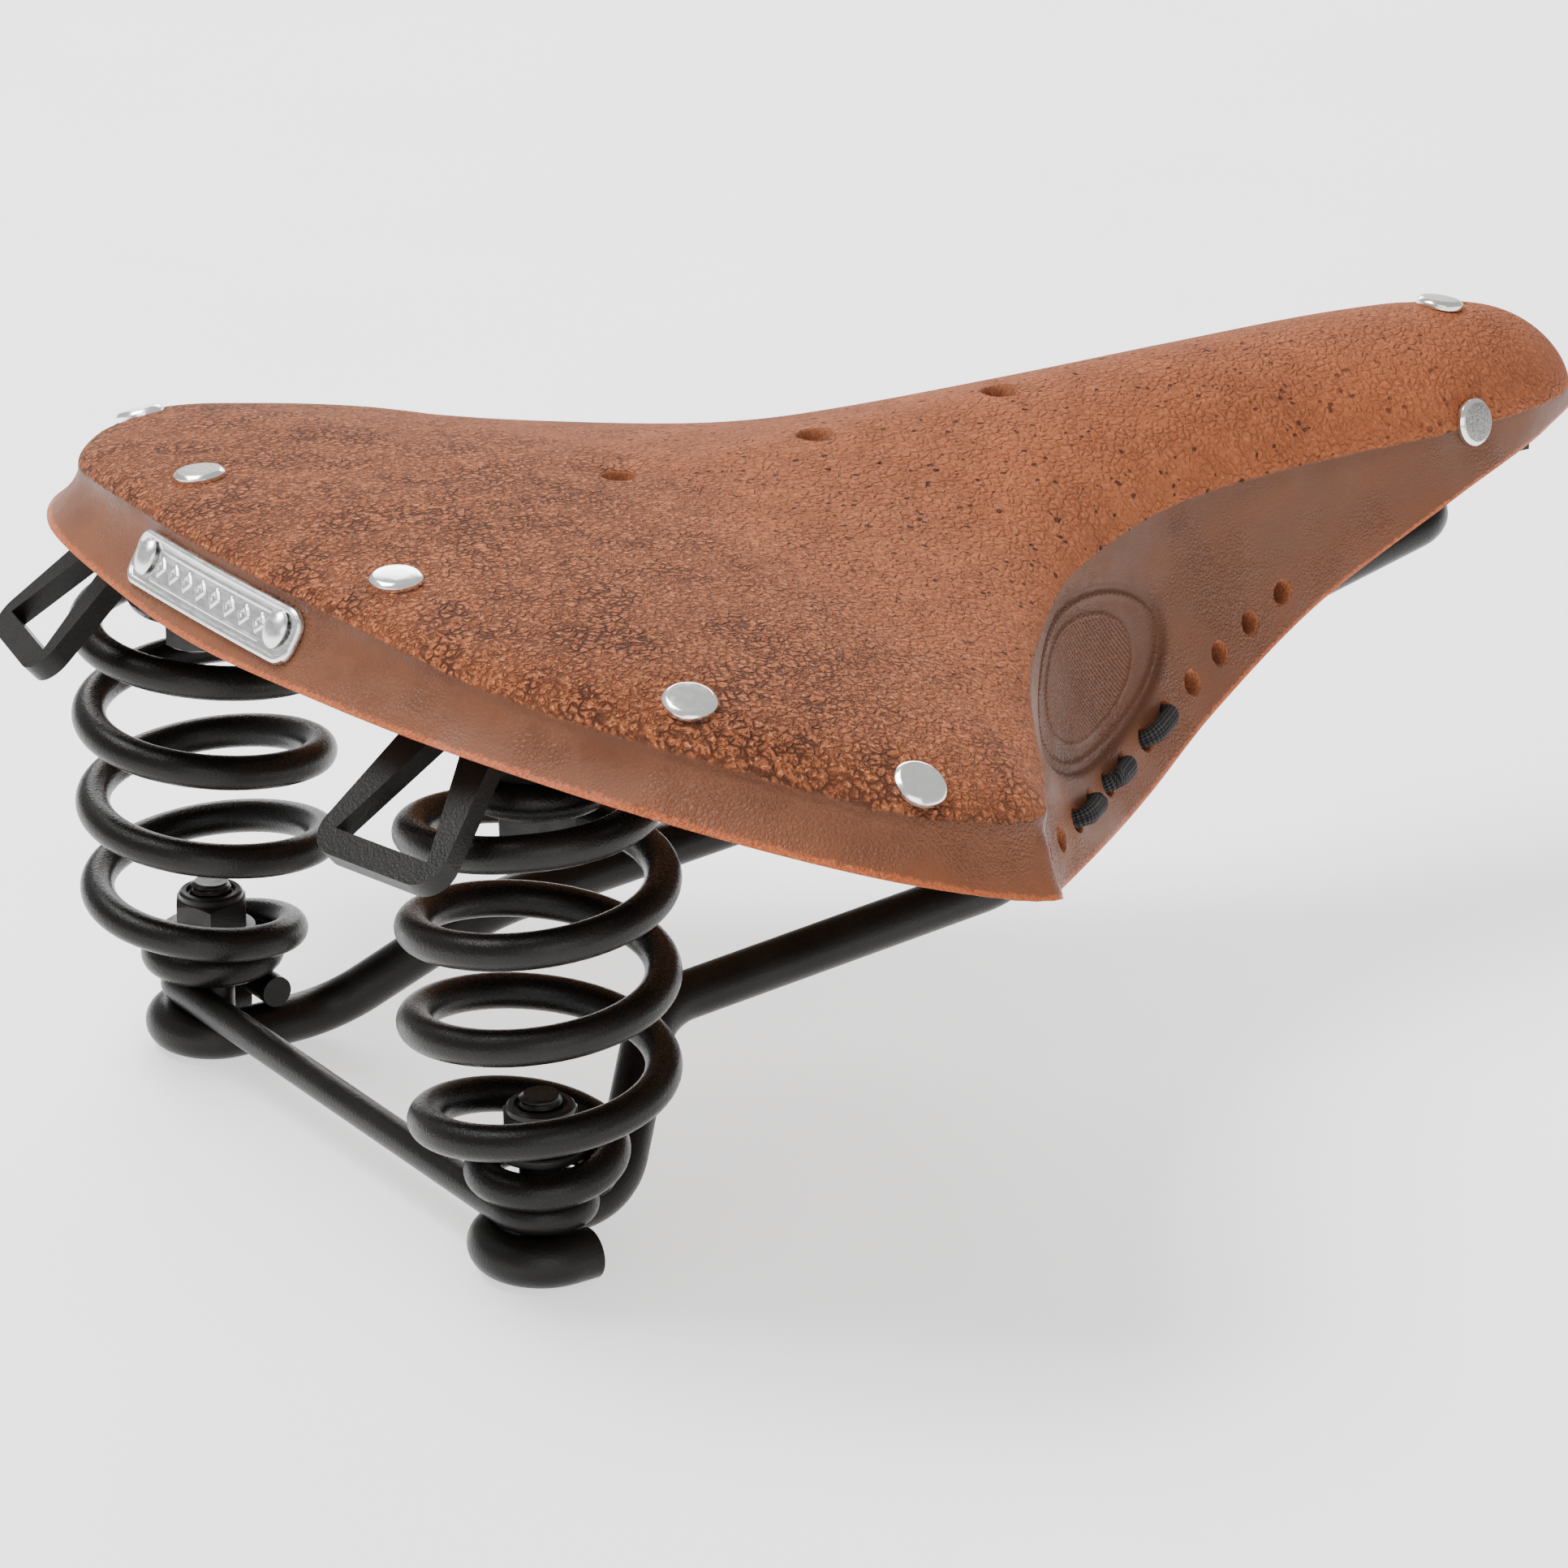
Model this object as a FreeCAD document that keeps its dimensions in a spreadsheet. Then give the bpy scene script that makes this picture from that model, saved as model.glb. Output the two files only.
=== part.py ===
import FreeCAD, Part
import os
from math import cos, exp, pi, radians, sin
from FreeCAD import Placement, Rotation, Vector

# Sprung leather saddle. The origin lies midway between the two rails, at the middle of their clamp
# zone. +X points to the nose, +Y to the rider's left, +Z up. All sizes are in millimetres.

doc = FreeCAD.newDocument("sprung_leather_saddle")
sheet = doc.addObject("Spreadsheet::Sheet", "dims")

DRIVING_SIZES = {
    "saddle_length": 245.0,
    "saddle_width": 203.0,
    "leather_thickness": 4.6,
    "plate_gap": 0.3,
    "plate_thickness": 2.0,
    "rail_radius": 3.5,
    "rail_half_spacing": 22.0,
    "rail_tilt": 4.8,
    "stay_radius": 2.3,
    "spring_wire_radius": 2.5,
    "spring_coil_radius": 16.5,
    "spring_eye_radius": 8.0,
    "spring_pitch": 13.5,
    "spring_axis_x": -63.0,
    "spring_axis_y": 45.0,
    "lower_eye_z": -9.5,
    "upper_eye_z": 46.1,
    "bolt_radius": 3.0,
    "bolt_clearance": 0.2,
    "hex_circumradius": 5.77,
    "nut_height": 5.0,
    "lock_nut_height": 5.8,
    "washer_radius": 6.5,
    "washer_height": 1.3,
    "stack_gap": 0.1,
    "rivet_head_radius": 3.6,
    "rivet_rim_height": 0.7,
    "rivet_bevel": 0.6,
    "rivet_shank_radius": 2.0,
    "rivet_tail_radius": 3.2,
    "rivet_tail_height": 1.0,
    "badge_length": 43.0,
    "badge_height": 8.0,
    "badge_thickness": 1.2,
    "badge_rivet_radius": 2.4,
    "pivot_x": 120.0,
    "pivot_z": 39.5,
    "pivot_clearance": 0.05,
    "shackle_thickness": 4.0,
    "shackle_width": 14.0,
    "shackle_height": 16.0,
    "pin_height": 10.0,
    "pin_clearance": 0.08,
    "vent_hole_radius": 2.4,
    "lace_hole_radius": 1.75,
    "lace_hole_spacing": 8.1,
    "lace_radius": 1.3,
    "web_height": 56.6,
}
for row, (alias, value) in enumerate(DRIVING_SIZES.items(), start=1):
    sheet.set(f"A{row}", alias.replace("_", " "))
    sheet.set(f"B{row}", str(value))
    sheet.setAlias(f"B{row}", alias)
doc.recompute()


def size(alias):
    return float(sheet.get(alias))


# ---------------------------------------------------------------- the leather's surface
# One half outline runs from the rear centre round the corner and along the flank to the nose.
# Every station names the spine point, the rim (the fold between top and skirt) and the skirt's
# lower edge. Lengths are for a saddle 245 long and 203 wide and are scaled from there.
SPINE_X = [-60, -57, -50, -42, -33, -24, -19, -10, 8, 25, 52, 81, 112, 126, 133]
SPINE_HEIGHT = [71.6, 71.4, 70.8, 70.1, 69.4, 68.8, 68.5, 68.1, 68.0, 68.4, 69.0, 69.2, 69.1, 68.5, 67.3]
RIM = [
    (-84, 0, 67.6), (-82, 28, 66.8), (-75.3, 57, 63.4), (-57.7, 80.5, 57.6), (-39.5, 94, 51.8),
    (-21.5, 97, 48.2), (-13, 88.5, 48.3), (1.5, 66, 52.0), (19.5, 46, 52.5), (34.5, 34, 53.5),
    (59, 23.5, 54.8), (85, 20.5, 55.2), (115, 20.8, 55.4), (141, 14, 54.2), (154, 0, 52.5),
]
EDGE = [
    (-89, 0, 57.0), (-87.3, 28, 57.6), (-81.7, 54.5, 57.0), (-65, 81, 52.0), (-44, 97.2, 45.4),
    (-22, 100.8, 38.7), (-10, 88.4, 33.8), (4, 69.2, 22.7), (25.5, 53.1, 20.2), (42.7, 41, 20.0),
    (63.5, 29.9, 25.0), (89, 21.8, 33.9), (114, 22, 45.2), (139, 14.5, 50.0), (156, 0, 49.8),
]
ROUNDNESS = [2.4, 2.4, 2.4, 2.4, 1.9, 1.6, 1.5, 1.4, 1.4, 1.5, 1.7, 1.8, 1.7, 1.7, 1.7]
LAST = len(RIM) - 1


def through(values, u, mirrored=1.0):
    """Smooth curve through values; past either end it continues mirrored."""
    i = min(int(u), LAST - 1)
    f = u - i

    def at(k):
        if k < 0:
            return mirrored * values[-k]
        if k > LAST:
            return mirrored * values[2 * LAST - k]
        return values[k]

    a, b, c, d = at(i - 1), at(i), at(i + 1), at(i + 2)
    slope_b = (c - a) / 2
    slope_c = (d - b) / 2
    f2, f3 = f * f, f * f * f
    return ((2 * f3 - 3 * f2 + 1) * b + (f3 - 2 * f2 + f) * slope_b
            + (3 * f2 - 2 * f3) * c + (f3 - f2) * slope_c)


LENGTH_SCALE = size("saddle_length") / 245.0
WIDTH_SCALE = size("saddle_width") / 203.0


def outline(points, u):
    """Point of an outline at station u, which may lie just past either end."""
    side = 1.0
    if u < 0:
        u, side = -u, -1.0
    if u > LAST:
        u, side = 2 * LAST - u, -1.0
    x = through([p[0] for p in points], u) * LENGTH_SCALE
    y = through([p[1] for p in points], u, -1.0) * WIDTH_SCALE * side
    z = through([p[2] for p in points], u)
    return Vector(x, y, z)


def outward(u):
    """Horizontal direction pointing out of the outline."""
    step = outline(RIM, u + 0.6) - outline(RIM, u - 0.6)
    direction = Vector(-step.y, step.x, 0)
    if u in (0, LAST):
        direction.y = 0
    return direction.normalize()


def leather_point(u, v, depth=0.0):
    """Point at station u and level v, depth below the outer face.

    v runs from 0 at the spine to 1 at the rim and 2 at the skirt's lower edge.
    """
    spine = Vector(through(SPINE_X, u) * LENGTH_SCALE, 0, through(SPINE_HEIGHT, u) - depth)
    rim = outline(RIM, u)
    edge = outline(EDGE, u)
    sink = 0.6 * (rim.z - edge.z)
    rim = rim - outward(u) * depth - Vector(0, 0, sink * (1 - exp(-depth / sink)))
    edge = edge - outward(u) * depth
    if v <= 1:
        power = 2 / through(ROUNDNESS, u)
        across = sin(v * pi / 2) ** power
        height = cos(v * pi / 2) ** power if v < 1 else 0.0
        flat = spine + (rim - spine) * across
        return Vector(flat.x, flat.y, rim.z + (spine.z - rim.z) * height)
    w = v - 1
    knee = rim - Vector(0, 0, 0.4 * (rim.z - edge.z))
    return rim * (1 - w) ** 2 + knee * (2 * w * (1 - w)) + edge * w ** 2


def steps(first, last, count):
    return [first + (last - first) * k / count for k in range(count + 1)]


def clamped_knots(poles):
    """Even knots of a cubic that starts and ends on its outer poles."""
    count = poles - 2
    return [k / (count - 1) for k in range(count)], [4] + [1] * (count - 2) + [4]


def surface_face(stations, levels, depth):
    """Cubic surface whose poles lie on the sheet at one depth."""
    poles = [[leather_point(u, v, depth) for v in levels] for u in stations]
    u_knots, u_mults = clamped_knots(len(stations))
    v_knots, v_mults = clamped_knots(len(levels))
    surface = Part.BSplineSurface()
    surface.buildFromPolesMultsKnots(poles, u_mults, v_mults, u_knots, v_knots, False, False, 3, 3)
    return surface.toShape()


def boundary_edge(face, start, end):
    """The face's edge that joins two points, in either direction."""
    def miss(edge):
        a, b = edge.Vertexes[0].Point, edge.Vertexes[-1].Point
        return min(a.distanceToPoint(start) + b.distanceToPoint(end),
                   a.distanceToPoint(end) + b.distanceToPoint(start))
    return min(face.Edges, key=miss)


def layer_solid(stations, levels, outer_depth, inner_depth):
    """Both halves of a curved sheet between two depths, closed all round."""
    outer = surface_face(stations, levels, outer_depth)
    inner = surface_face(stations, levels, inner_depth)
    first_u, last_u, first_v, last_v = stations[0], stations[-1], levels[0], levels[-1]
    corners = {
        "lower": ((first_u, last_v), (last_u, last_v)),
        "upper": ((first_u, first_v), (last_u, first_v)),
        "rear": ((first_u, first_v), (first_u, last_v)),
        "front": ((last_u, first_v), (last_u, last_v)),
    }
    on_middle = {"lower": False, "upper": first_v == 0, "rear": first_u == 0, "front": last_u == LAST}
    half = [outer, inner]
    for name, (a, b) in corners.items():
        if on_middle[name]:
            continue
        ends = [[leather_point(u, v, depth) for u, v in (a, b)] for depth in (outer_depth, inner_depth)]
        half.append(Part.makeRuledSurface(boundary_edge(outer, *ends[0]), boundary_edge(inner, *ends[1])))
    faces = half + [face.mirror(Vector(0, 0, 0), Vector(0, 1, 0)) for face in half]
    shell = Part.Shell(faces)
    shell.sewShape()
    solid = Part.Solid(shell)
    if solid.Volume < 0:
        solid.reverse()
    return solid


def surface_normal(u, v):
    """Outward normal of the leather's outer face."""
    along = leather_point(min(u + 0.05, LAST), v) - leather_point(max(u - 0.05, 0), v)
    down = leather_point(u, min(v + 0.02, 2)) - leather_point(u, max(v - 0.02, 0.0))
    if v == 0:
        return Vector(-along.z, 0, along.x).normalize()
    normal = along.cross(down)
    return normal.normalize()


# ---------------------------------------------------------------- helpers for solids
def add_shape(name, shape):
    """A document object for a shape that no parametric feature makes."""
    item = doc.addObject("Part::Feature", name)
    item.Shape = shape
    item.Label = name
    return item


def add_primitive(kind, name, placement=None, **expressions):
    item = doc.addObject(kind, name)
    for prop, expression in expressions.items():
        item.setExpression(prop, expression)
    if placement is not None:
        item.Placement = placement
    return item


def add_fuse(name, items):
    fuse = doc.addObject("Part::MultiFuse", name)
    fuse.Shapes = items
    fuse.Label = name
    return fuse


def add_cut(name, base, tool):
    cut = doc.addObject("Part::Cut", name)
    cut.Base = base
    cut.Tool = tool
    cut.Label = name
    return cut


def at(x, y, z):
    return Placement(Vector(x, y, z), Rotation())


def aim(point, direction):
    """Placement whose local +Z points along direction."""
    return Placement(point, Rotation(Vector(0, 0, 1), direction))


def rod(start, end, radius):
    return Part.makeCylinder(radius, (end - start).Length, start, end - start)


def rounded_path(points, radii):
    """Straight runs joined by tangent arcs; radii belongs to the inner points."""
    edges = []
    cursor = points[0]
    for before, corner, after, radius in zip(points, points[1:], points[2:], radii):
        to_back = (before - corner).normalize()
        to_front = (after - corner).normalize()
        half_turn = (pi - to_back.getAngle(to_front)) / 2
        reach = radius * sin(half_turn) / cos(half_turn)
        start = corner + to_back * reach
        end = corner + to_front * reach
        inward = (to_back + to_front).normalize()
        middle = corner + inward * (radius / cos(half_turn) - radius)
        if (start - cursor).Length > 1e-3:
            edges.append(Part.LineSegment(cursor, start).toShape())
        edges.append(Part.Arc(start, middle, end).toShape())
        cursor = end
    edges.append(Part.LineSegment(cursor, points[-1]).toShape())
    return Part.Wire(edges)


def wire_solid(path, radius):
    """Round wire along a path, compared with its section times its length."""
    start = path.Edges[0].valueAt(path.Edges[0].FirstParameter)
    tangent = path.Edges[0].tangentAt(path.Edges[0].FirstParameter)
    section = Part.Wire([Part.Circle(start, tangent, radius).toShape()])
    solid = path.makePipeShell([section], True, True)
    expected = pi * radius ** 2 * path.Length
    print("wire length", round(path.Length, 1), "volume ratio", round(solid.Volume / expected, 4))
    return solid


# ---------------------------------------------------------------- frame: rails, stay, springs
RAIL = size("rail_radius")
BOLT = size("bolt_radius")
CLEAR = size("bolt_clearance")
GAP = size("stack_gap")
AXIS_X = size("spring_axis_x")
AXIS_Y = size("spring_axis_y")
WIRE = size("spring_wire_radius")
STAY = size("stay_radius")
LOWER_EYE_Z = size("lower_eye_z")
UPPER_EYE_Z = size("upper_eye_z")
STAY_Z = LOWER_EYE_Z - WIRE - GAP - STAY
RAIL_EYE_Z = STAY_Z - STAY - GAP - RAIL
PIVOT = Vector(size("pivot_x"), 0, size("pivot_z"))
CLAMP_SLOPE = sin(radians(size("rail_tilt"))) / cos(radians(size("rail_tilt")))
CLAMP_REAR_X = -30.0
CLAMP_FRONT_X = 32.0
RAIL_FREE_END = {1: 8.0, -1: 3.5}


def rail_half(side):
    """Corner points and bend radii of one rail, from its free end to the nose bar."""
    hook = BOLT + CLEAR + RAIL
    outer_y, inner_y = side * (AXIS_Y + hook), side * (AXIS_Y - hook)
    rail_y = side * size("rail_half_spacing")
    points = [
        Vector(AXIS_X + RAIL_FREE_END[side], outer_y, RAIL_EYE_Z),
        Vector(AXIS_X - hook, outer_y, RAIL_EYE_Z),
        Vector(AXIS_X - hook, inner_y, RAIL_EYE_Z),
        Vector(AXIS_X + 16, inner_y, RAIL_EYE_Z),
        Vector(CLAMP_REAR_X, rail_y, CLAMP_REAR_X * CLAMP_SLOPE),
        Vector(CLAMP_FRONT_X, rail_y, CLAMP_FRONT_X * CLAMP_SLOPE),
        Vector(70, side * 13, 28.5),
        Vector(PIVOT.x, side * 12.5, PIVOT.z),
    ]
    return points, [hook, hook, 12, 12, 20, 40, 5.4]


def make_rail_frame():
    right_points, right_radii = rail_half(-1)
    left_points, left_radii = rail_half(1)
    points = right_points + left_points[::-1]
    return wire_solid(rounded_path(points, right_radii + left_radii[::-1]), RAIL)


def make_cross_stay():
    hook = BOLT + CLEAR + STAY
    rear_x, front_x = AXIS_X - hook, AXIS_X + hook
    reach = AXIS_Y + hook
    right = [
        Vector(front_x, -AXIS_Y + 9, STAY_Z),
        Vector(front_x, -reach, STAY_Z),
        Vector(rear_x, -reach, STAY_Z),
    ]
    left = [Vector(p.x, -p.y, p.z) for p in reversed(right)]
    return wire_solid(rounded_path(right + left, [hook] * 4), STAY)


def ease(f):
    return f * f * (3 - 2 * f)


def spring_point(turn, side):
    """Centre line of a spring; turn 0 is the start of its first full-size coil.

    The wire starts as a flat eye, widens over one turn into three full coils, and narrows
    again into the upper eye. The two springs are wound opposite ways.
    """
    eye, coil, pitch = size("spring_eye_radius"), size("spring_coil_radius"), size("spring_pitch")
    first_z = LOWER_EYE_Z + 11.6
    last_z = first_z + 3 * pitch
    if turn < 0:
        f = max(turn + 1, 0)
        radius = eye + (coil - eye) * ease(f)
        z = LOWER_EYE_Z + (first_z - LOWER_EYE_Z) * f ** 1.35
    elif turn <= 3:
        radius = coil
        z = first_z + pitch * turn
    else:
        f = min((turn - 3) / 0.75, 1)
        radius = coil + (eye - coil) * ease(f)
        z = last_z + (UPPER_EYE_Z - last_z) * (1 - (1 - f) ** 2)
    angle = radians(-125) + 2 * pi * turn
    return Vector(AXIS_X + radius * cos(angle), side * (AXIS_Y - radius * sin(angle)), z)


def make_spring(side):
    first_turn, last_turn, per_turn = -1.82, 4.55, 16
    count = int((last_turn - first_turn) * per_turn)
    points = [spring_point(turn, side) for turn in steps(first_turn, last_turn, count)]
    curve = Part.BSplineCurve()
    curve.interpolate(points)
    return wire_solid(Part.Wire([curve.toShape()]), WIRE)


add_shape("rail_frame", make_rail_frame())
add_shape("cross_stay", make_cross_stay())
for side, word in ((1, "left"), (-1, "right")):
    add_shape(f"coil_spring_{word}", make_spring(side))


# ---------------------------------------------------------------- bolts, nuts and washers
HEX_HEAD = 3.5
WASHER_Z = LOWER_EYE_Z + WIRE + GAP
LOCK_NUT_Z = WASHER_Z + size("washer_height") + GAP / 2
UPPER_NUT_Z = UPPER_EYE_Z - WIRE - GAP - size("nut_height")
WEB_Z = size("web_height")
WEB_TOP = WEB_Z + size("plate_thickness")


BOLT_STANDS_OUT = 1.2


def lower_bolt(name, x, y):
    """Taper-headed bolt whose head nests in the rail's hook."""
    bottom = RAIL_EYE_Z - RAIL - 0.3
    top = LOCK_NUT_Z + size("lock_nut_height") + BOLT_STANDS_OUT
    shank = add_primitive("Part::Cylinder", name + "_shank", at(x, y, bottom), Radius="dims.bolt_radius")
    shank.Height = top - bottom
    head = add_primitive("Part::Cone", name + "_head", at(x, y, bottom), Radius2="dims.bolt_radius",
                         Radius1="dims.bolt_radius * 1.9")
    head.Height = 2.1
    return add_fuse(name, [shank, head])


def upper_bolt(name, x, y):
    bottom = UPPER_NUT_Z - 1.2
    shank = add_primitive("Part::Cylinder", name + "_shank", at(x, y, bottom), Radius="dims.bolt_radius")
    shank.Height = WEB_TOP + GAP - bottom
    head = add_primitive("Part::Prism", name + "_head", at(x, y, WEB_TOP + GAP),
                         Circumradius="dims.hex_circumradius")
    head.Polygon = 6
    head.Height = HEX_HEAD
    return add_fuse(name, [shank, head])


def ring(name, body, x, y, z, height):
    """Nut or washer: a body with a round hole for its bolt."""
    body.setExpression("Height", height)
    body.Placement = at(x, y, z)
    hole = add_primitive("Part::Cylinder", name + "_hole", at(x, y, z - 1),
                         Radius="dims.bolt_radius + 0.05", Height=height + " + 2")
    return add_cut(name, body, hole)


def hex_body(name):
    body = add_primitive("Part::Prism", name + "_body", Circumradius="dims.hex_circumradius")
    body.Polygon = 6
    return body


for side, word in ((1, "left"), (-1, "right")):
    y = side * AXIS_Y
    lower_bolt(f"lower_bolt_{word}", AXIS_X, y)
    upper_bolt(f"upper_bolt_{word}", AXIS_X, y)
    disc = add_primitive("Part::Cylinder", f"spring_washer_{word}_body", Radius="dims.washer_radius")
    ring(f"spring_washer_{word}", disc, AXIS_X, y, WASHER_Z, "dims.washer_height")
    ring(f"lock_nut_{word}", hex_body(f"lock_nut_{word}"), AXIS_X, y, LOCK_NUT_Z, "dims.lock_nut_height")
    ring(f"upper_nut_{word}", hex_body(f"upper_nut_{word}"), AXIS_X, y, UPPER_NUT_Z, "dims.nut_height")


# ---------------------------------------------------------------- rivets
LEATHER = size("leather_thickness")
PLATE_IN = LEATHER + size("plate_gap")
PLATE_OUT = PLATE_IN + size("plate_thickness")
SEAT_DEPTH = 0.3

# station and level of each riveted point
REAR_RIVETS = [(1.35, 0.44), (2.95, 0.7), (4.2, 0.84)]
NOSE_SIDE_RIVET = (12.15, 0.94)
NOSE_TOP_RIVET = (13.3, 0.0)


def rivet_seat(place, side):
    """Placement of a rivet on the outer face, +Z outwards, sunk to its seat."""
    u, v = place
    point = leather_point(u, v)
    normal = surface_normal(u, v)
    point.y *= side
    normal.y *= side
    return aim(point - normal * SEAT_DEPTH, normal)


GRIP = PLATE_OUT - SEAT_DEPTH + 0.6


def add_rivet(name, seat):
    """Flat head with a bevelled rim, a shank and a spread tail on the plate's far side."""
    rim = add_primitive("Part::Cylinder", name + "_rim", seat, Radius="dims.rivet_head_radius",
                        Height="dims.rivet_rim_height")
    bevel = add_primitive("Part::Cone", name + "_bevel", Radius1="dims.rivet_head_radius",
                          Radius2="dims.rivet_head_radius - dims.rivet_bevel", Height="dims.rivet_bevel")
    bevel.Placement = seat.multiply(at(0, 0, size("rivet_rim_height")))
    shank = add_primitive("Part::Cylinder", name + "_shank", seat.multiply(at(0, 0, -GRIP)),
                          Radius="dims.rivet_shank_radius")
    shank.Height = GRIP + 0.2
    tail = add_primitive("Part::Cylinder", name + "_tail", Radius="dims.rivet_tail_radius",
                         Height="dims.rivet_tail_height")
    tail.Placement = seat.multiply(at(0, 0, -GRIP - size("rivet_tail_height") + 0.1))
    return add_fuse(name, [rim, bevel, shank, tail])


seats = {}
for number, place in enumerate(REAR_RIVETS, start=1):
    for side, word in ((1, "left"), (-1, "right")):
        seats[f"rear_rivet_{number}_{word}"] = rivet_seat(place, side)
seats["nose_rivet_left"] = rivet_seat(NOSE_SIDE_RIVET, 1)
seats["nose_rivet_right"] = rivet_seat(NOSE_SIDE_RIVET, -1)
seats["nose_rivet_top"] = rivet_seat(NOSE_TOP_RIVET, 1)
for name, seat in seats.items():
    add_rivet(name, seat)


def rivet_clearance(seat, radius, below):
    """Hole for a rivet: its shank's bore and the flat seat of its head."""
    base = seat.Base
    axis = seat.Rotation.multVec(Vector(0, 0, 1))
    bore = Part.makeCylinder(radius, below + 3, base - axis * below, axis)
    head = Part.makeCylinder(size("rivet_head_radius") + 0.15, 3, base - axis * 0.1, axis)
    return bore.fuse(head)


def plate_bore(seat):
    """Hole in a plate for a rivet's shank, with a recess for its tail."""
    base = seat.Base
    inward = seat.Rotation.multVec(Vector(0, 0, -1))
    bore = Part.makeCylinder(size("rivet_shank_radius") + 0.1, 12, base, inward)
    recess = Part.makeCylinder(size("rivet_tail_radius") + 0.15, 6, base + inward * (GRIP - 0.2), inward)
    return bore.fuse(recess)


# ---------------------------------------------------------------- lace holes
LACE_HOLES = 13
FIRST_HOLE_X = 81.3
HOLE_ABOVE_EDGE = 4.8


def hole_level(u):
    return 2 - HOLE_ABOVE_EDGE / (outline(RIM, u).z - outline(EDGE, u).z)


def lace_holes():
    """Centres and outward directions of one flap's holes, from the front one back."""
    u = 12.0
    while leather_point(u, hole_level(u)).x > FIRST_HOLE_X:
        u -= 0.01
    holes = [u]
    while len(holes) < LACE_HOLES:
        last = leather_point(holes[-1], hole_level(holes[-1]))
        while (leather_point(u, hole_level(u)) - last).Length < size("lace_hole_spacing"):
            u -= 0.01
        holes.append(u)
    return [(leather_point(u, hole_level(u)), surface_normal(u, hole_level(u))) for u in holes]


HOLES = lace_holes()


def flipped(vector, side):
    return Vector(vector.x, vector.y * side, vector.z)


# ---------------------------------------------------------------- badge
BADGE_PIN = 1.2
BADGE_MIDDLE = leather_point(0, 1.5)
BADGE_NORMAL = surface_normal(0, 1.5)
BADGE_INSET = 4.0
BADGE_LIFT = 0.1


def badge_rivet_seat(side):
    """Where a badge rivet's axis meets the apron, the way its head faces, and the badge's height there."""
    reach = size("badge_length") / 2 - BADGE_INSET
    u = 0.0
    while leather_point(u, 1.5).y < reach:
        u += 0.01
    point, normal = leather_point(u, 1.5), surface_normal(u, 1.5)
    height = (leather_point(u, 1.5, -BADGE_LIFT - size("badge_thickness")) - point).dot(normal)
    return flipped(point, side), flipped(normal, side), height


def make_badge():
    """Plate that hugs the apron, trimmed to a rectangle with round corners."""
    top = BADGE_LIFT + size("badge_thickness")
    sheet_layer = layer_solid(steps(0, 1.1, 8), steps(1.1, 1.9, 6), -top, -BADGE_LIFT)
    length, height = size("badge_length"), size("badge_height")
    blank = Part.makeBox(height, length, 12, Vector(-height / 2, -length / 2, -6))
    corners = [e for e in blank.Edges if abs(e.tangentAt(e.FirstParameter).z) > 0.9]
    blank = blank.makeFillet(2.6, corners)
    up_slope = Vector(0, 1, 0).cross(BADGE_NORMAL)
    blank.Placement = Placement(BADGE_MIDDLE, Rotation(up_slope, Vector(0, 1, 0), BADGE_NORMAL, "ZXY"))
    badge = sheet_layer.common(blank)
    pins = []
    for side in (1, -1):
        point, normal, _ = badge_rivet_seat(side)
        pins.append(rod(point - normal * 3, point + normal * 3, BADGE_PIN + 0.05))
    return badge.cut(pins)


add_shape("badge_plate", make_badge())
for side, word in ((1, "left"), (-1, "right")):
    name = f"badge_rivet_{word}"
    point, normal, height = badge_rivet_seat(side)
    seat = aim(point + normal * (height + 0.3), normal)
    dome = add_primitive("Part::Ellipsoid", name + "_dome", seat, Radius1="dims.badge_rivet_radius * 0.5",
                         Radius2="dims.badge_rivet_radius * 1.15", Radius3="dims.badge_rivet_radius")
    dome.Angle1 = 0
    pin = add_primitive("Part::Cylinder", name + "_pin", seat.multiply(at(0, 0, -4.2)))
    pin.Radius = BADGE_PIN
    pin.Height = 4.4
    add_fuse(name, [pin, dome])


# ---------------------------------------------------------------- leather, cantle plate, nose plate
VENT_HOLES_X = [45.0, 12.3, -20.9]


def make_leather():
    stations = sorted(set(steps(0, LAST, 42) + [4.5, 4.75, 5.25, 5.5]))
    levels = steps(0, 0.9, 9) + [0.95, 1.0, 1.06, 1.15] + steps(1.3, 2, 5)
    body = layer_solid(stations, levels, 0.0, LEATHER)
    tools = [rivet_clearance(seat, size("rivet_shank_radius") + 0.1, LEATHER + 2) for seat in seats.values()]
    for x in VENT_HOLES_X:
        tools.append(rod(Vector(x, 0, 55), Vector(x, 0, 80), size("vent_hole_radius")))
    for side in (1, -1):
        point, normal, _ = badge_rivet_seat(side)
        tools.append(rod(point - normal * 3, point + normal * 3, BADGE_PIN + 0.1))
    for side in (1, -1):
        for centre, normal in HOLES:
            centre, normal = flipped(centre, side), flipped(normal, side)
            tools.append(rod(centre - normal * 8, centre + normal * 4, size("lace_hole_radius")))
    return body.cut(tools)


WEB_FRONT_X = -46.0


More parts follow.
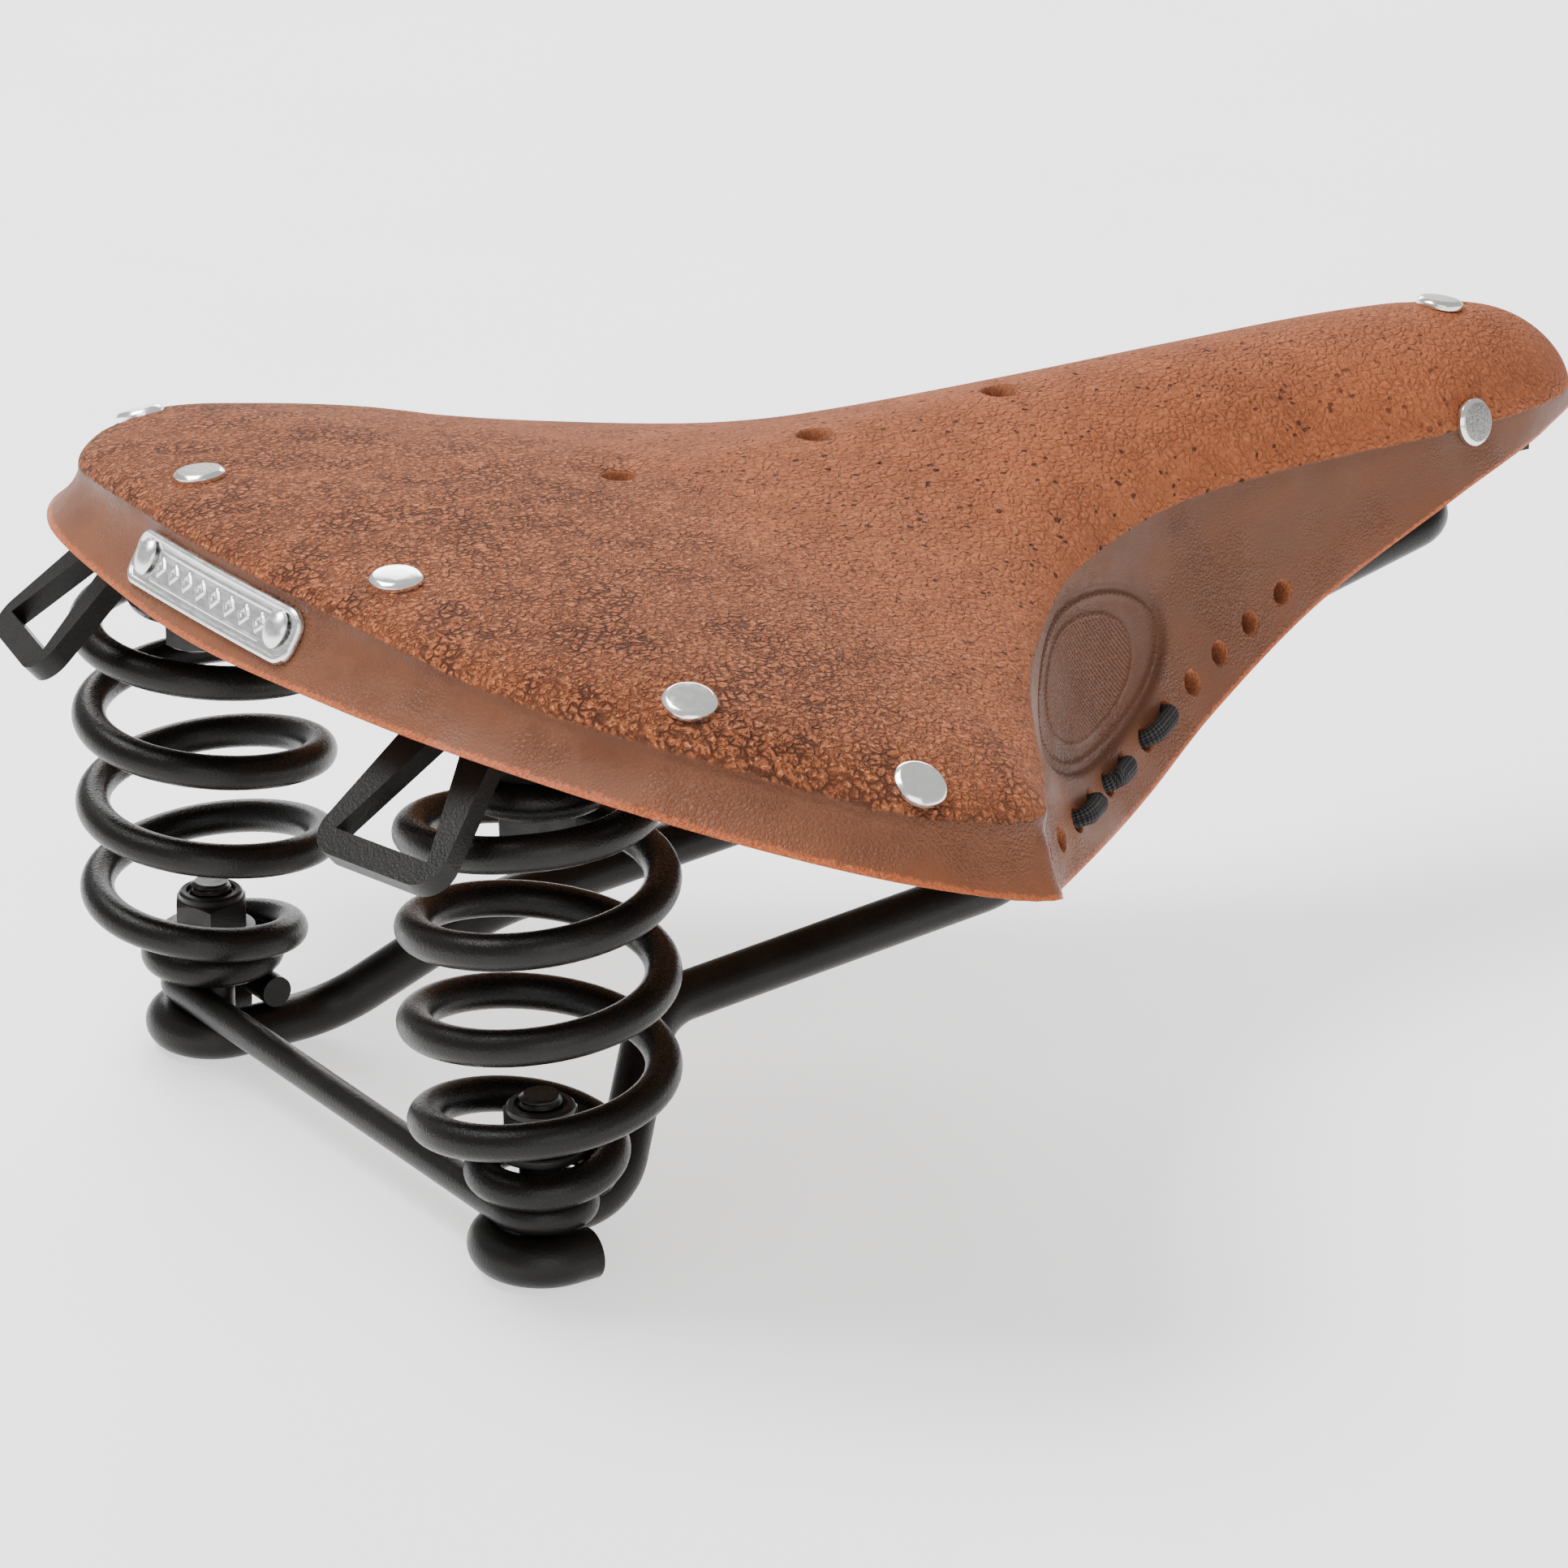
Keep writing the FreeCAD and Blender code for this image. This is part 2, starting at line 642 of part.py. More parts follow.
def make_bag_loop(side):
    """Flat bar bent into a sloping trapezoid eye, in the plane of its own XY."""
    bar, thick = 3.7, 3.0
    low, high, rise = 8.5, 2.6, 16.0
    foot = 9.0
    outer = Part.makePolygon([Vector(-bar, -low - bar, 0), Vector(rise + foot, -high - bar, 0),
                              Vector(rise + foot, high + bar, 0), Vector(-bar, low + bar, 0),
                              Vector(-bar, -low - bar, 0)])
    inner = Part.makePolygon([Vector(0, -low, 0), Vector(rise, -high, 0), Vector(rise, high, 0),
                              Vector(0, low, 0), Vector(0, -low, 0)])
    blank = Part.Face(outer).extrude(Vector(0, 0, thick))
    eye = Part.Face(inner).extrude(Vector(0, 0, thick))
    standing = [edge for edge in blank.Edges if abs(edge.tangentAt(edge.FirstParameter).z) > 0.9]
    upright = [edge for edge in standing if edge.Vertexes[0].Point.x < 0]
    loop = blank.makeFillet(4.0, upright).cut(eye)
    loop.translate(Vector(0, 0, -thick / 2))
    slope, yaw = 41.5, -12.3 * side
    turn = Rotation(Vector(0, 0, 1), yaw).multiply(Rotation(Vector(0, 1, 0), -slope))
    loop.Placement = Placement(Vector(-86.75, side * 48.3, 41.9), turn)
    return loop


def make_cantle_plate():
    """Rim strip under the rear of the leather, flat web, spring cups and bag loops."""
    levels = steps(0.35, 0.95, 6) + [1.05] + steps(1.2, 1.8, 3)
    strip = layer_solid(steps(0, 4.5, 18), levels, PLATE_IN, PLATE_OUT)
    rear = [leather_point(u, 1.6, PLATE_OUT - 1.0) for u in steps(0, 2.1, 8)]
    left = [Vector(p.x, p.y, WEB_Z) for p in rear] + [Vector(WEB_FRONT_X, rear[-1].y - 4, WEB_Z)]
    left.append(Vector(WEB_FRONT_X - 6, 0, WEB_Z))
    right = [Vector(p.x, -p.y, p.z) for p in reversed(left[1:-1])]
    outline_wire = Part.makePolygon(left + right + [left[0]])
    web = Part.Face(outline_wire).extrude(Vector(0, 0, size("plate_thickness")))
    plate = web
    cup_bottom = UPPER_EYE_Z + WIRE + GAP
    for side in (1, -1):
        foot = Vector(AXIS_X, side * AXIS_Y, cup_bottom)
        cup = Part.makeCone(8.0, 10.0, WEB_Z - cup_bottom + 0.5, foot)
        plate = plate.fuse([cup, make_bag_loop(side)])
    plate = plate.fuse(strip)
    bores = [rod(Vector(AXIS_X, side * AXIS_Y, 40), Vector(AXIS_X, side * AXIS_Y, 65), BOLT + CLEAR)
             for side in (1, -1)]
    bores += [plate_bore(seat) for name, seat in seats.items() if name.startswith("rear")]
    return plate.cut(bores)


PIN_Z = PIVOT.z + size("pin_height")
PIN_FRONT_X = 141.5
NOSE_PLATE_GAP = 0.2


def make_nose_plate():
    """Pressed cup under the nose with a tab that the tension pin bears on."""
    levels = steps(0, 0.9, 9) + [0.95, 1.0, 1.06, 1.15, 1.3]
    cup = layer_solid(steps(12, LAST, 6), levels, PLATE_IN + NOSE_PLATE_GAP, PLATE_OUT + NOSE_PLATE_GAP)
    tab = Part.makeBox(2.6, 11, 10.4, Vector(PIN_FRONT_X, -5.5, PIN_Z - 6))
    plate = cup.fuse(tab)
    bores = [plate_bore(seat) for name, seat in seats.items() if name.startswith("nose")]
    return plate.cut(bores)


add_shape("leather_top", make_leather())
add_shape("cantle_plate", make_cantle_plate())
add_shape("nose_plate", make_nose_plate())


# ---------------------------------------------------------------- tension shackle, pin and nut
SLOT = size("rail_radius") + size("pivot_clearance")
ARM_OUT = SLOT + size("shackle_thickness")
NUT_X = PIVOT.x + ARM_OUT + 0.15
PIN_REAR_X = PIVOT.x - ARM_OUT - 7.2
ALONG_X = Rotation(Vector(0, 1, 0), 90)
ALONG_Y = Rotation(Vector(1, 0, 0), -90)


def add_shackle():
    """Strap bent into a U under the nose bar, with the pin's holes through both arms."""
    side_y = -size("shackle_width") / 2
    outside = add_primitive("Part::Cylinder", "shackle_round", Placement(PIVOT + Vector(0, side_y, 0), ALONG_Y),
                            Radius="dims.rail_radius + dims.pivot_clearance + dims.shackle_thickness",
                            Height="dims.shackle_width")
    arms = add_primitive("Part::Box", "shackle_arms", at(PIVOT.x - ARM_OUT, side_y, PIVOT.z),
                         Length="2 * (dims.rail_radius + dims.pivot_clearance + dims.shackle_thickness)",
                         Width="dims.shackle_width", Height="dims.shackle_height")
    inside = add_primitive("Part::Cylinder", "shackle_inside",
                           Placement(PIVOT + Vector(0, side_y - 1, 0), ALONG_Y),
                           Radius="dims.rail_radius + dims.pivot_clearance", Height="dims.shackle_width + 2")
    slot = add_primitive("Part::Box", "shackle_slot", at(PIVOT.x - SLOT, side_y - 1, PIVOT.z),
                         Length="2 * (dims.rail_radius + dims.pivot_clearance)",
                         Width="dims.shackle_width + 2", Height="dims.shackle_height + 1")
    bore = add_primitive("Part::Cylinder", "shackle_bore",
                         Placement(Vector(PIVOT.x - ARM_OUT - 1, 0, PIN_Z), ALONG_X),
                         Radius="dims.bolt_radius + dims.pin_clearance")
    bore.Height = 2 * ARM_OUT + 2
    blank = add_fuse("shackle_blank", [outside, arms])
    opening = add_fuse("shackle_opening", [inside, slot, bore])
    add_cut("tension_shackle", blank, opening)


def add_tension_pin():
    shank = add_primitive("Part::Cylinder", "tension_pin_shank",
                          Placement(Vector(PIN_REAR_X, 0, PIN_Z), ALONG_X), Radius="dims.bolt_radius")
    shank.Height = PIN_FRONT_X - PIN_REAR_X
    head = add_primitive("Part::Cylinder", "tension_pin_head",
                         Placement(Vector(PIN_REAR_X - 0.1, 0, PIN_Z), ALONG_X), Radius="dims.bolt_radius * 1.5")
    head.Height = 3.0
    add_fuse("tension_pin", [shank, head])


def add_tension_nut():
    body = hex_body("tension_nut")
    body.setExpression("Height", "dims.nut_height")
    body.Placement = Placement(Vector(NUT_X, 0, PIN_Z), ALONG_X)
    hole = add_primitive("Part::Cylinder", "tension_nut_hole",
                         Placement(Vector(NUT_X - 1, 0, PIN_Z), ALONG_X), Radius="dims.bolt_radius + 0.05",
                         Height="dims.nut_height + 2")
    add_cut("tension_nut", body, hole)


add_shackle()
add_tension_pin()
add_tension_nut()


# ---------------------------------------------------------------- skirt lace
FIRST_LACED = 4
LACE = size("lace_radius")
STITCH_BEND = 2.4
CROSS_BEND = 30.0


def lace_point(hole, side, outside):
    centre, normal = HOLES[hole]
    lift = LACE + 0.35 if outside else -(LEATHER + LACE + 0.6)
    return flipped(centre + normal * lift, side)


def make_lace():
    """One lace: three stitches outside each flap, crossing inside, tied behind in a knot."""
    a, b, c, d, e, f = range(FIRST_LACED, FIRST_LACED + 6)

    def stitch(first, second, side):
        return [(lace_point(first, side, False), STITCH_BEND), (lace_point(first, side, True), STITCH_BEND),
                (lace_point(second, side, True), STITCH_BEND), (lace_point(second, side, False), STITCH_BEND)]

    def crossing(first, second, lift):
        middle = (lace_point(first, 1, False) + lace_point(second, -1, False)) * 0.5
        return [(Vector(middle.x, 0, middle.z + lift), CROSS_BEND)]

    knot = lace_point(f, 1, False) + Vector(-6, 0, -2)
    ends = [Vector(knot.x, side * 2.0, knot.z) for side in (1, -1)]
    run = [(ends[0], 0)] + stitch(f, e, 1) + crossing(e, d, 1.8) + stitch(d, c, -1) + crossing(c, b, 1.8)
    run += stitch(b, a, 1) + stitch(a, b, -1) + crossing(b, c, -1.8) + stitch(c, d, 1)
    run += crossing(d, e, -1.8) + stitch(e, f, -1) + [(ends[1], 0)]
    points = [point for point, bend in run]
    bends = [bend for point, bend in run[1:-1]]
    lace = wire_solid(rounded_path(points, bends), LACE)
    knot_body = Part.makeSphere(3.6, Vector(knot.x, 0, knot.z))
    return lace.fuse(knot_body)


add_shape("skirt_lace", make_lace())


# ---------------------------------------------------------------- checks and export
doc.recompute()
NODES = (["rail_frame", "cross_stay", "coil_spring_left", "coil_spring_right"]
         + [f"{part}_{word}" for part in ("lower_bolt", "upper_bolt", "spring_washer", "lock_nut", "upper_nut")
            for word in ("left", "right")]
         + list(seats)
         + ["leather_top", "cantle_plate", "nose_plate", "badge_plate", "badge_rivet_left", "badge_rivet_right",
            "tension_shackle", "tension_pin", "tension_nut", "skirt_lace"])
for item in doc.Objects:
    if "Invalid" in item.State or "Error" in item.State:
        raise RuntimeError(f"{item.Label} failed: {item.State}")
os.makedirs("parts", exist_ok=True)
for name in NODES:
    shape = doc.getObject(name).Shape
    if shape.isNull() or not shape.isValid():
        raise RuntimeError(f"{name} has no valid shape")
    print(name, len(shape.Solids), round(shape.Volume, 1))
    shape.exportStep(f"parts/{name}.step")
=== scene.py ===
from math import atan2, cos, exp, hypot, pi, sin, sqrt

import bmesh
import bpy
from mathutils import Matrix, Vector
from mathutils import noise


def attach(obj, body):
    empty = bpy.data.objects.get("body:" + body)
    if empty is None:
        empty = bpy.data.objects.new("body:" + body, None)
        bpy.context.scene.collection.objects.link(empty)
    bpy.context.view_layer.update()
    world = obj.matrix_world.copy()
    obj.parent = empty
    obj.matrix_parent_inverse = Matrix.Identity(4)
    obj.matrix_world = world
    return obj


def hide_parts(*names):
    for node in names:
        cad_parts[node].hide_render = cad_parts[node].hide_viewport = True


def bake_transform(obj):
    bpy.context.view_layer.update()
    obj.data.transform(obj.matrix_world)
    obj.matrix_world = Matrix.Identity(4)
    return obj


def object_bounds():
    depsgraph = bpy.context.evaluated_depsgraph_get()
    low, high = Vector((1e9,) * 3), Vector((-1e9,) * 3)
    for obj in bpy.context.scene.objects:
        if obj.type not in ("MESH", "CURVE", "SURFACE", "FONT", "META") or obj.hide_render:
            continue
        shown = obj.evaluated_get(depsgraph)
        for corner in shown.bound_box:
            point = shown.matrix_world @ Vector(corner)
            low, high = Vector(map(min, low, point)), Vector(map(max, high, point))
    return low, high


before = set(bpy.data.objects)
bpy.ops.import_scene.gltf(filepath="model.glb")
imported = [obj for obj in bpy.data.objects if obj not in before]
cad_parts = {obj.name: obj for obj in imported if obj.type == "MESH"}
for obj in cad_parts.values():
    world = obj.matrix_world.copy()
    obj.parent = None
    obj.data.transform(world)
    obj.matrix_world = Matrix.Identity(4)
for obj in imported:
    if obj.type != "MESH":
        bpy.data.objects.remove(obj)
cad_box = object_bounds()

MM = 0.001

# ---------------------------------------------------------------- the leather's surface, in millimetres
# Stations run round one half of the outline, from the rear centre by the corner to the nose. Each
# names the spine point, the rim between top and skirt, and the skirt's lower edge.
SPINE_X = [-60, -57, -50, -42, -33, -24, -19, -10, 8, 25, 52, 81, 112, 126, 133]
SPINE_HEIGHT = [71.6, 71.4, 70.8, 70.1, 69.4, 68.8, 68.5, 68.1, 68.0, 68.4, 69.0, 69.2, 69.1, 68.5, 67.3]
RIM = [
    (-84, 0, 67.6), (-82, 28, 66.8), (-75.3, 57, 63.4), (-57.7, 80.5, 57.6), (-39.5, 94, 51.8),
    (-21.5, 97, 48.2), (-13, 88.5, 48.3), (1.5, 66, 52.0), (19.5, 46, 52.5), (34.5, 34, 53.5),
    (59, 23.5, 54.8), (85, 20.5, 55.2), (115, 20.8, 55.4), (141, 14, 54.2), (154, 0, 52.5),
]
EDGE = [
    (-89, 0, 57.0), (-87.3, 28, 57.6), (-81.7, 54.5, 57.0), (-65, 81, 52.0), (-44, 97.2, 45.4),
    (-22, 100.8, 38.7), (-10, 88.4, 33.8), (4, 69.2, 22.7), (25.5, 53.1, 20.2), (42.7, 41, 20.0),
    (63.5, 29.9, 25.0), (89, 21.8, 33.9), (114, 22, 45.2), (139, 14.5, 50.0), (156, 0, 49.8),
]
ROUNDNESS = [2.4, 2.4, 2.4, 2.4, 1.9, 1.6, 1.5, 1.4, 1.4, 1.5, 1.7, 1.8, 1.7, 1.7, 1.7]
LAST = len(RIM) - 1
LEATHER = 4.6
BODY_TOP, BODY_FRAME, BODY_NOSE, BODY_NUT = "top", "frame", "nose", "nut"


def through(values, u, mirrored=1.0):
    """Smooth curve through values; past either end it continues mirrored."""
    i = min(int(u), LAST - 1)
    f = u - i

    def at(k):
        if k < 0:
            return mirrored * values[-k]
        if k > LAST:
            return mirrored * values[2 * LAST - k]
        return values[k]

    a, b, c, d = at(i - 1), at(i), at(i + 1), at(i + 2)
    slope_b = (c - a) / 2
    slope_c = (d - b) / 2
    f2, f3 = f * f, f * f * f
    return ((2 * f3 - 3 * f2 + 1) * b + (f3 - 2 * f2 + f) * slope_b
            + (3 * f2 - 2 * f3) * c + (f3 - f2) * slope_c)


def outline(points, u):
    """Point of an outline at station u, which may lie just past either end."""
    side = 1.0
    if u < 0:
        u, side = -u, -1.0
    if u > LAST:
        u, side = 2 * LAST - u, -1.0
    x = through([p[0] for p in points], u)
    y = through([p[1] for p in points], u, -1.0) * side
    z = through([p[2] for p in points], u)
    return Vector((x, y, z))


def outward(u):
    """Horizontal direction pointing out of the outline."""
    step = outline(RIM, u + 0.6) - outline(RIM, u - 0.6)
    direction = Vector((-step.y, step.x, 0))
    if u in (0, LAST):
        direction.y = 0
    return direction.normalized()


class Station:
    """What one station of the outline fixes, for one depth below the outer face."""

    def __init__(self, u, depth=0.0):
        rim = outline(RIM, u)
        edge = outline(EDGE, u)
        out = outward(u)
        sink = 0.6 * (rim.z - edge.z)
        self.spine = Vector((through(SPINE_X, u), 0, through(SPINE_HEIGHT, u) - depth))
        self.rim = rim - out * depth - Vector((0, 0, sink * (1 - exp(-depth / sink))))
        self.edge = edge - out * depth
        self.knee = self.rim - Vector((0, 0, 0.4 * (self.rim.z - self.edge.z)))
        self.power = 2 / through(ROUNDNESS, u)

    def at(self, v):
        """v runs from 0 at the spine to 1 at the rim and 2 at the skirt's lower edge."""
        if v <= 1:
            across = sin(v * pi / 2) ** self.power
            height = cos(v * pi / 2) ** self.power if v < 1 else 0.0
            flat = self.spine + (self.rim - self.spine) * across
            return Vector((flat.x, flat.y, self.rim.z + (self.spine.z - self.rim.z) * height))
        w = v - 1
        return self.rim * (1 - w) ** 2 + self.knee * (2 * w * (1 - w)) + self.edge * w ** 2


def leather_point(u, v, depth=0.0):
    return Station(u, depth).at(v)


def surface_normal(u, v):
    """Outward normal of the leather's outer face."""
    along = leather_point(min(u + 0.05, LAST), v) - leather_point(max(u - 0.05, 0), v)
    down = leather_point(u, min(v + 0.02, 2)) - leather_point(u, max(v - 0.02, 0.0))
    if v == 0:
        return Vector((-along.z, 0, along.x)).normalized()
    return along.cross(down).normalized()


def steps(first, last, count):
    return [first + (last - first) * k / count for k in range(count + 1)]


def smooth(low, high, x):
    f = min(max((x - low) / (high - low), 0.0), 1.0)
    return f * f * (3 - 2 * f)


def flipped(vector, side):
    return Vector((vector.x, vector.y * side, vector.z))


# ---------------------------------------------------------------- node material helpers
class Nodes:
    """Short spelling for building a material's node tree."""

    def __init__(self, name):
        self.material = bpy.data.materials.new(name)
        self.material.use_nodes = True
        self.tree = self.material.node_tree
        self.shader = self.tree.nodes["Principled BSDF"]

    def add(self, kind, **values):
        node = self.tree.nodes.new(kind)
        for name, value in values.items():
            setattr(node, name, value)
        return node

    def link(self, output, socket):
        self.tree.links.new(output, socket)

    def feed(self, socket, value):
        if isinstance(value, bpy.types.NodeSocket):
            self.link(value, socket)
        else:
            socket.default_value = value

    def attribute(self, name, output="Fac"):
        return self.add("ShaderNodeAttribute", attribute_name=name).outputs[output]

    def place(self):
        return self.add("ShaderNodeTexCoord").outputs["Object"]

    def mapping(self, vector, scale=(1, 1, 1), rotation=(0, 0, 0)):
        node = self.add("ShaderNodeMapping")
        self.link(vector, node.inputs["Vector"])
        node.inputs["Scale"].default_value = scale
        node.inputs["Rotation"].default_value = rotation
        return node.outputs["Vector"]

    def noise(self, vector, scale, detail=4.0, roughness=0.55, distortion=0.0):
        node = self.add("ShaderNodeTexNoise")
        self.link(vector, node.inputs["Vector"])
        node.inputs["Scale"].default_value = scale
        node.inputs["Detail"].default_value = detail
        node.inputs["Roughness"].default_value = roughness
        node.inputs["Distortion"].default_value = distortion
        return node.outputs["Fac"]

    def voronoi(self, vector, scale, feature="F1", output="Distance", randomness=1.0):
        node = self.add("ShaderNodeTexVoronoi", feature=feature)
        self.link(vector, node.inputs["Vector"])
        node.inputs["Scale"].default_value = scale
        node.inputs["Randomness"].default_value = randomness
        return node.outputs[output]

    def wave(self, vector, scale, distortion=0.0, direction="X", profile="SIN"):
        node = self.add("ShaderNodeTexWave", bands_direction=direction, wave_profile=profile)
        self.link(vector, node.inputs["Vector"])
        node.inputs["Scale"].default_value = scale
        node.inputs["Distortion"].default_value = distortion
        return node.outputs["Fac"]

    def math(self, operation, a, b=0.0, clamp=False):
        node = self.add("ShaderNodeMath", operation=operation, use_clamp=clamp)
        self.feed(node.inputs[0], a)
        self.feed(node.inputs[1], b)
        return node.outputs[0]

    def fit(self, value, low, high, to_low=0.0, to_high=1.0, smoothly=True):
        node = self.add("ShaderNodeMapRange", clamp=True)
        if smoothly:
            node.interpolation_type = "SMOOTHSTEP"
        self.link(value, node.inputs["Value"])
        for name, number in (("From Min", low), ("From Max", high), ("To Min", to_low), ("To Max", to_high)):
            node.inputs[name].default_value = number
        return node.outputs["Result"]

    def mix(self, factor, a, b, blend="MIX"):
        node = self.add("ShaderNodeMix", data_type="RGBA", blend_type=blend)
        self.feed(node.inputs["Factor"], factor)
        for socket, value in ((node.inputs[6], a), (node.inputs[7], b)):
            self.feed(socket, value if isinstance(value, bpy.types.NodeSocket) else (*value, 1.0))
        return node.outputs[2]

    def blend(self, factor, a, b):
        node = self.add("ShaderNodeMix", data_type="FLOAT")
        self.feed(node.inputs["Factor"], factor)
        self.feed(node.inputs[2], a)
        self.feed(node.inputs[3], b)
        return node.outputs[0]

    def bump(self, height, distance, strength=1.0, normal=None):
        node = self.add("ShaderNodeBump")
        self.link(height, node.inputs["Height"])
        node.inputs["Distance"].default_value = distance
        node.inputs["Strength"].default_value = strength
        if normal is not None:
            self.link(normal, node.inputs["Normal"])
        return node.outputs["Normal"]

    def finish(self, colour, roughness, normal=None, **constants):
        self.feed(self.shader.inputs["Base Color"], colour)
        self.feed(self.shader.inputs["Roughness"], roughness)
        if normal is not None:
            self.link(normal, self.shader.inputs["Normal"])
        for name, value in constants.items():
            self.shader.inputs[name.replace("_", " ").title().replace("Ior", "IOR")].default_value = value
        return self.material


# ---------------------------------------------------------------- leather materials
def outer_leather():
    """Pebbled nubuck on the top, burnished smooth hide on the skirt."""
    n = Nodes("leather_outer")
    rest = n.attribute("rest", "Vector")
    level = n.attribute("level")
    forward = n.attribute("forward")
    warp = n.add("ShaderNodeTexNoise")
    n.link(rest, warp.inputs["Vector"])
    warp.inputs["Scale"].default_value = 0.35
    warp.inputs["Detail"].default_value = 3.0
    shifted = n.add("ShaderNodeVectorMath", operation="SCALE")
    n.link(warp.outputs["Color"], shifted.inputs[0])
    shifted.inputs["Scale"].default_value = 1.6
    moved = n.add("ShaderNodeVectorMath", operation="ADD")
    n.link(rest, moved.inputs[0])
    n.link(shifted.outputs[0], moved.inputs[1])
    place = moved.outputs[0]

    crack_cell = n.voronoi(place, 0.78, "DISTANCE_TO_EDGE")
    fine_cell = n.voronoi(place, 1.6, "DISTANCE_TO_EDGE")
    cracks = n.fit(crack_cell, 0.02, 0.2, 1.0, 0.0)
    fine_cracks = n.fit(fine_cell, 0.0, 0.22, 1.0, 0.0)
    patches = n.fit(n.noise(rest, 0.1, 3.0), 0.4, 0.6)
    broken = n.fit(n.noise(rest, 0.7, 3.0), 0.38, 0.52)
    rear = n.fit(forward, 0.62, 0.2)
    crack = n.math("MULTIPLY", n.math("MULTIPLY", cracks, broken), n.blend(patches, 0.55, 1.0))
    fine = n.math("MULTIPLY", fine_cracks, n.fit(n.noise(rest, 1.3, 2.0), 0.45, 0.6))
    crack = n.math("MAXIMUM", crack, n.math("MULTIPLY", fine, 0.75))
    crack = n.math("MULTIPLY", crack, n.blend(rear, 0.3, 1.0))

    pore_spot = n.voronoi(n.mapping(place, (0.75, 1.0, 1.0)), 0.62)
    pore_size = n.fit(n.noise(rest, 0.5, 2.0), 0.38, 0.66, 0.04, 0.34, False)
    pore = n.fit(n.math("SUBTRACT", pore_size, pore_spot), 0.0, 0.1)
    pore = n.math("MULTIPLY", pore, n.fit(forward, 0.3, 0.55, 0.3, 1.0))
    pore = n.math("MULTIPLY", pore, n.fit(forward, 0.72, 0.92, 1.0, 0.45))
    # Painted highlights: small light tan specks over the pebbles, stronger towards the rear.
    painted_highlight_speck = n.fit(n.noise(place, 1.9, 3.0, 0.6), 0.53, 0.66)

    grain = n.noise(rest, 2.6, 6.0, 0.65)
    mottling = n.noise(rest, 0.045, 5.0, 0.6)
    cloud = n.noise(rest, 0.16, 4.0, 0.6)

    wobble = n.math("SUBTRACT", n.noise(rest, 0.5, 4.0), 0.5)
    edge_wobble = n.math("ADD", level, n.math("MULTIPLY", wobble, 0.045))
    skirt = n.fit(edge_wobble, 0.955, 0.995)

    top = n.mix(n.fit(cloud, 0.3, 0.7), (0.252, 0.071, 0.026), (0.361, 0.107, 0.040))
    top = n.mix(n.fit(forward, 0.5, 1.0, 0.0, 0.6), top, (0.336, 0.085, 0.028))
    top = n.mix(n.fit(grain, 0.35, 0.75, 0.0, 0.5), top, (0.437, 0.142, 0.057))
    top = n.mix(n.fit(mottling, 0.35, 0.68, 0.0, 0.35), top, (0.168, 0.049, 0.020))
    # Painted highlights mixed into the top's colour as light tan specks.
    top = n.mix(n.math("MULTIPLY", painted_highlight_speck, n.blend(rear, 0.3, 0.9)), top, (0.605, 0.233, 0.098))
    top = n.mix(n.math("MULTIPLY", crack, 0.95), top, (0.050, 0.015, 0.008))
    top = n.mix(n.math("MULTIPLY", pore, 0.9), top, (0.046, 0.014, 0.007))

    side = n.mix(n.fit(mottling, 0.3, 0.7), (0.111, 0.038, 0.018), (0.174, 0.063, 0.029))
    side = n.mix(n.fit(cloud, 0.35, 0.75, 0.0, 0.4), side, (0.215, 0.083, 0.039))
    side = n.mix(n.fit(grain, 0.35, 0.7, 0.0, 0.3), side, (0.100, 0.034, 0.015))
    side = n.mix(n.fit(level, 1.22, 1.0, 0.0, 0.5), side, (0.085, 0.029, 0.013))
    side = n.mix(n.fit(level, 1.6, 2.0, 0.0, 0.4), side, (0.222, 0.069, 0.028))
    side = n.mix(n.fit(forward, 0.45, 0.8, 0.0, 0.45), side, (0.088, 0.034, 0.015))
    side = n.mix(n.math("MULTIPLY", n.attribute("stamp_shade"), 0.6), side, (0.063, 0.025, 0.013))
    rough_edge = n.math("ADD", n.attribute("edge_gap"), n.math("MULTIPLY", n.noise(rest, 1.4, 4.0), -1.0))
    rough_edge = n.fit(rough_edge, 0.15, -0.2)
    torn_fibre = n.mix(n.fit(grain, 0.35, 0.7), (0.311, 0.066, 0.020), (0.488, 0.139, 0.050))
    side = n.mix(rough_edge, side, torn_fibre)

    wrinkle = n.voronoi(place, 1.5, "DISTANCE_TO_EDGE")
    wrinkles = n.fit(wrinkle, 0.0, 0.3)
    crease_zone = n.fit(n.noise(rest, 0.05, 2.0), 0.45, 0.62, 0.15, 1.0)

    stamp = n.attribute("stamp_place", "Vector")
    hatch = n.wave(n.mapping(stamp, rotation=(0, 0, 0.62)), 0.42)
    hatch_zone = n.attribute("stamp_hatch")

    top_height = n.math("SUBTRACT", n.math("MULTIPLY", grain, 0.42), n.math("MULTIPLY", crack, 1.0))
    top_height = n.math("SUBTRACT", top_height, n.math("MULTIPLY", pore, 0.9))
    cells = n.fit(crack_cell, 0.0, 0.3)
    top_height = n.math("ADD", top_height, n.math("MULTIPLY", cells, 0.6))
    side_height = n.math("ADD", n.math("MULTIPLY", n.math("MULTIPLY", wrinkles, crease_zone), 0.3),
                         n.math("MULTIPLY", grain, 0.12))
    side_height = n.math("ADD", side_height, n.math("MULTIPLY", n.math("MULTIPLY", hatch, hatch_zone), 0.5))
    height = n.blend(skirt, top_height, side_height)
    normal = n.bump(height, 0.00042, 1.0)

    roughness_top = n.fit(grain, 0.3, 0.7, 0.93, 0.78)
    roughness_side = n.fit(cloud, 0.3, 0.7, 0.42, 0.6)
    return n.finish(n.mix(skirt, top, side), n.blend(skirt, roughness_top, roughness_side), normal,
                    specular_ior_level=0.22)


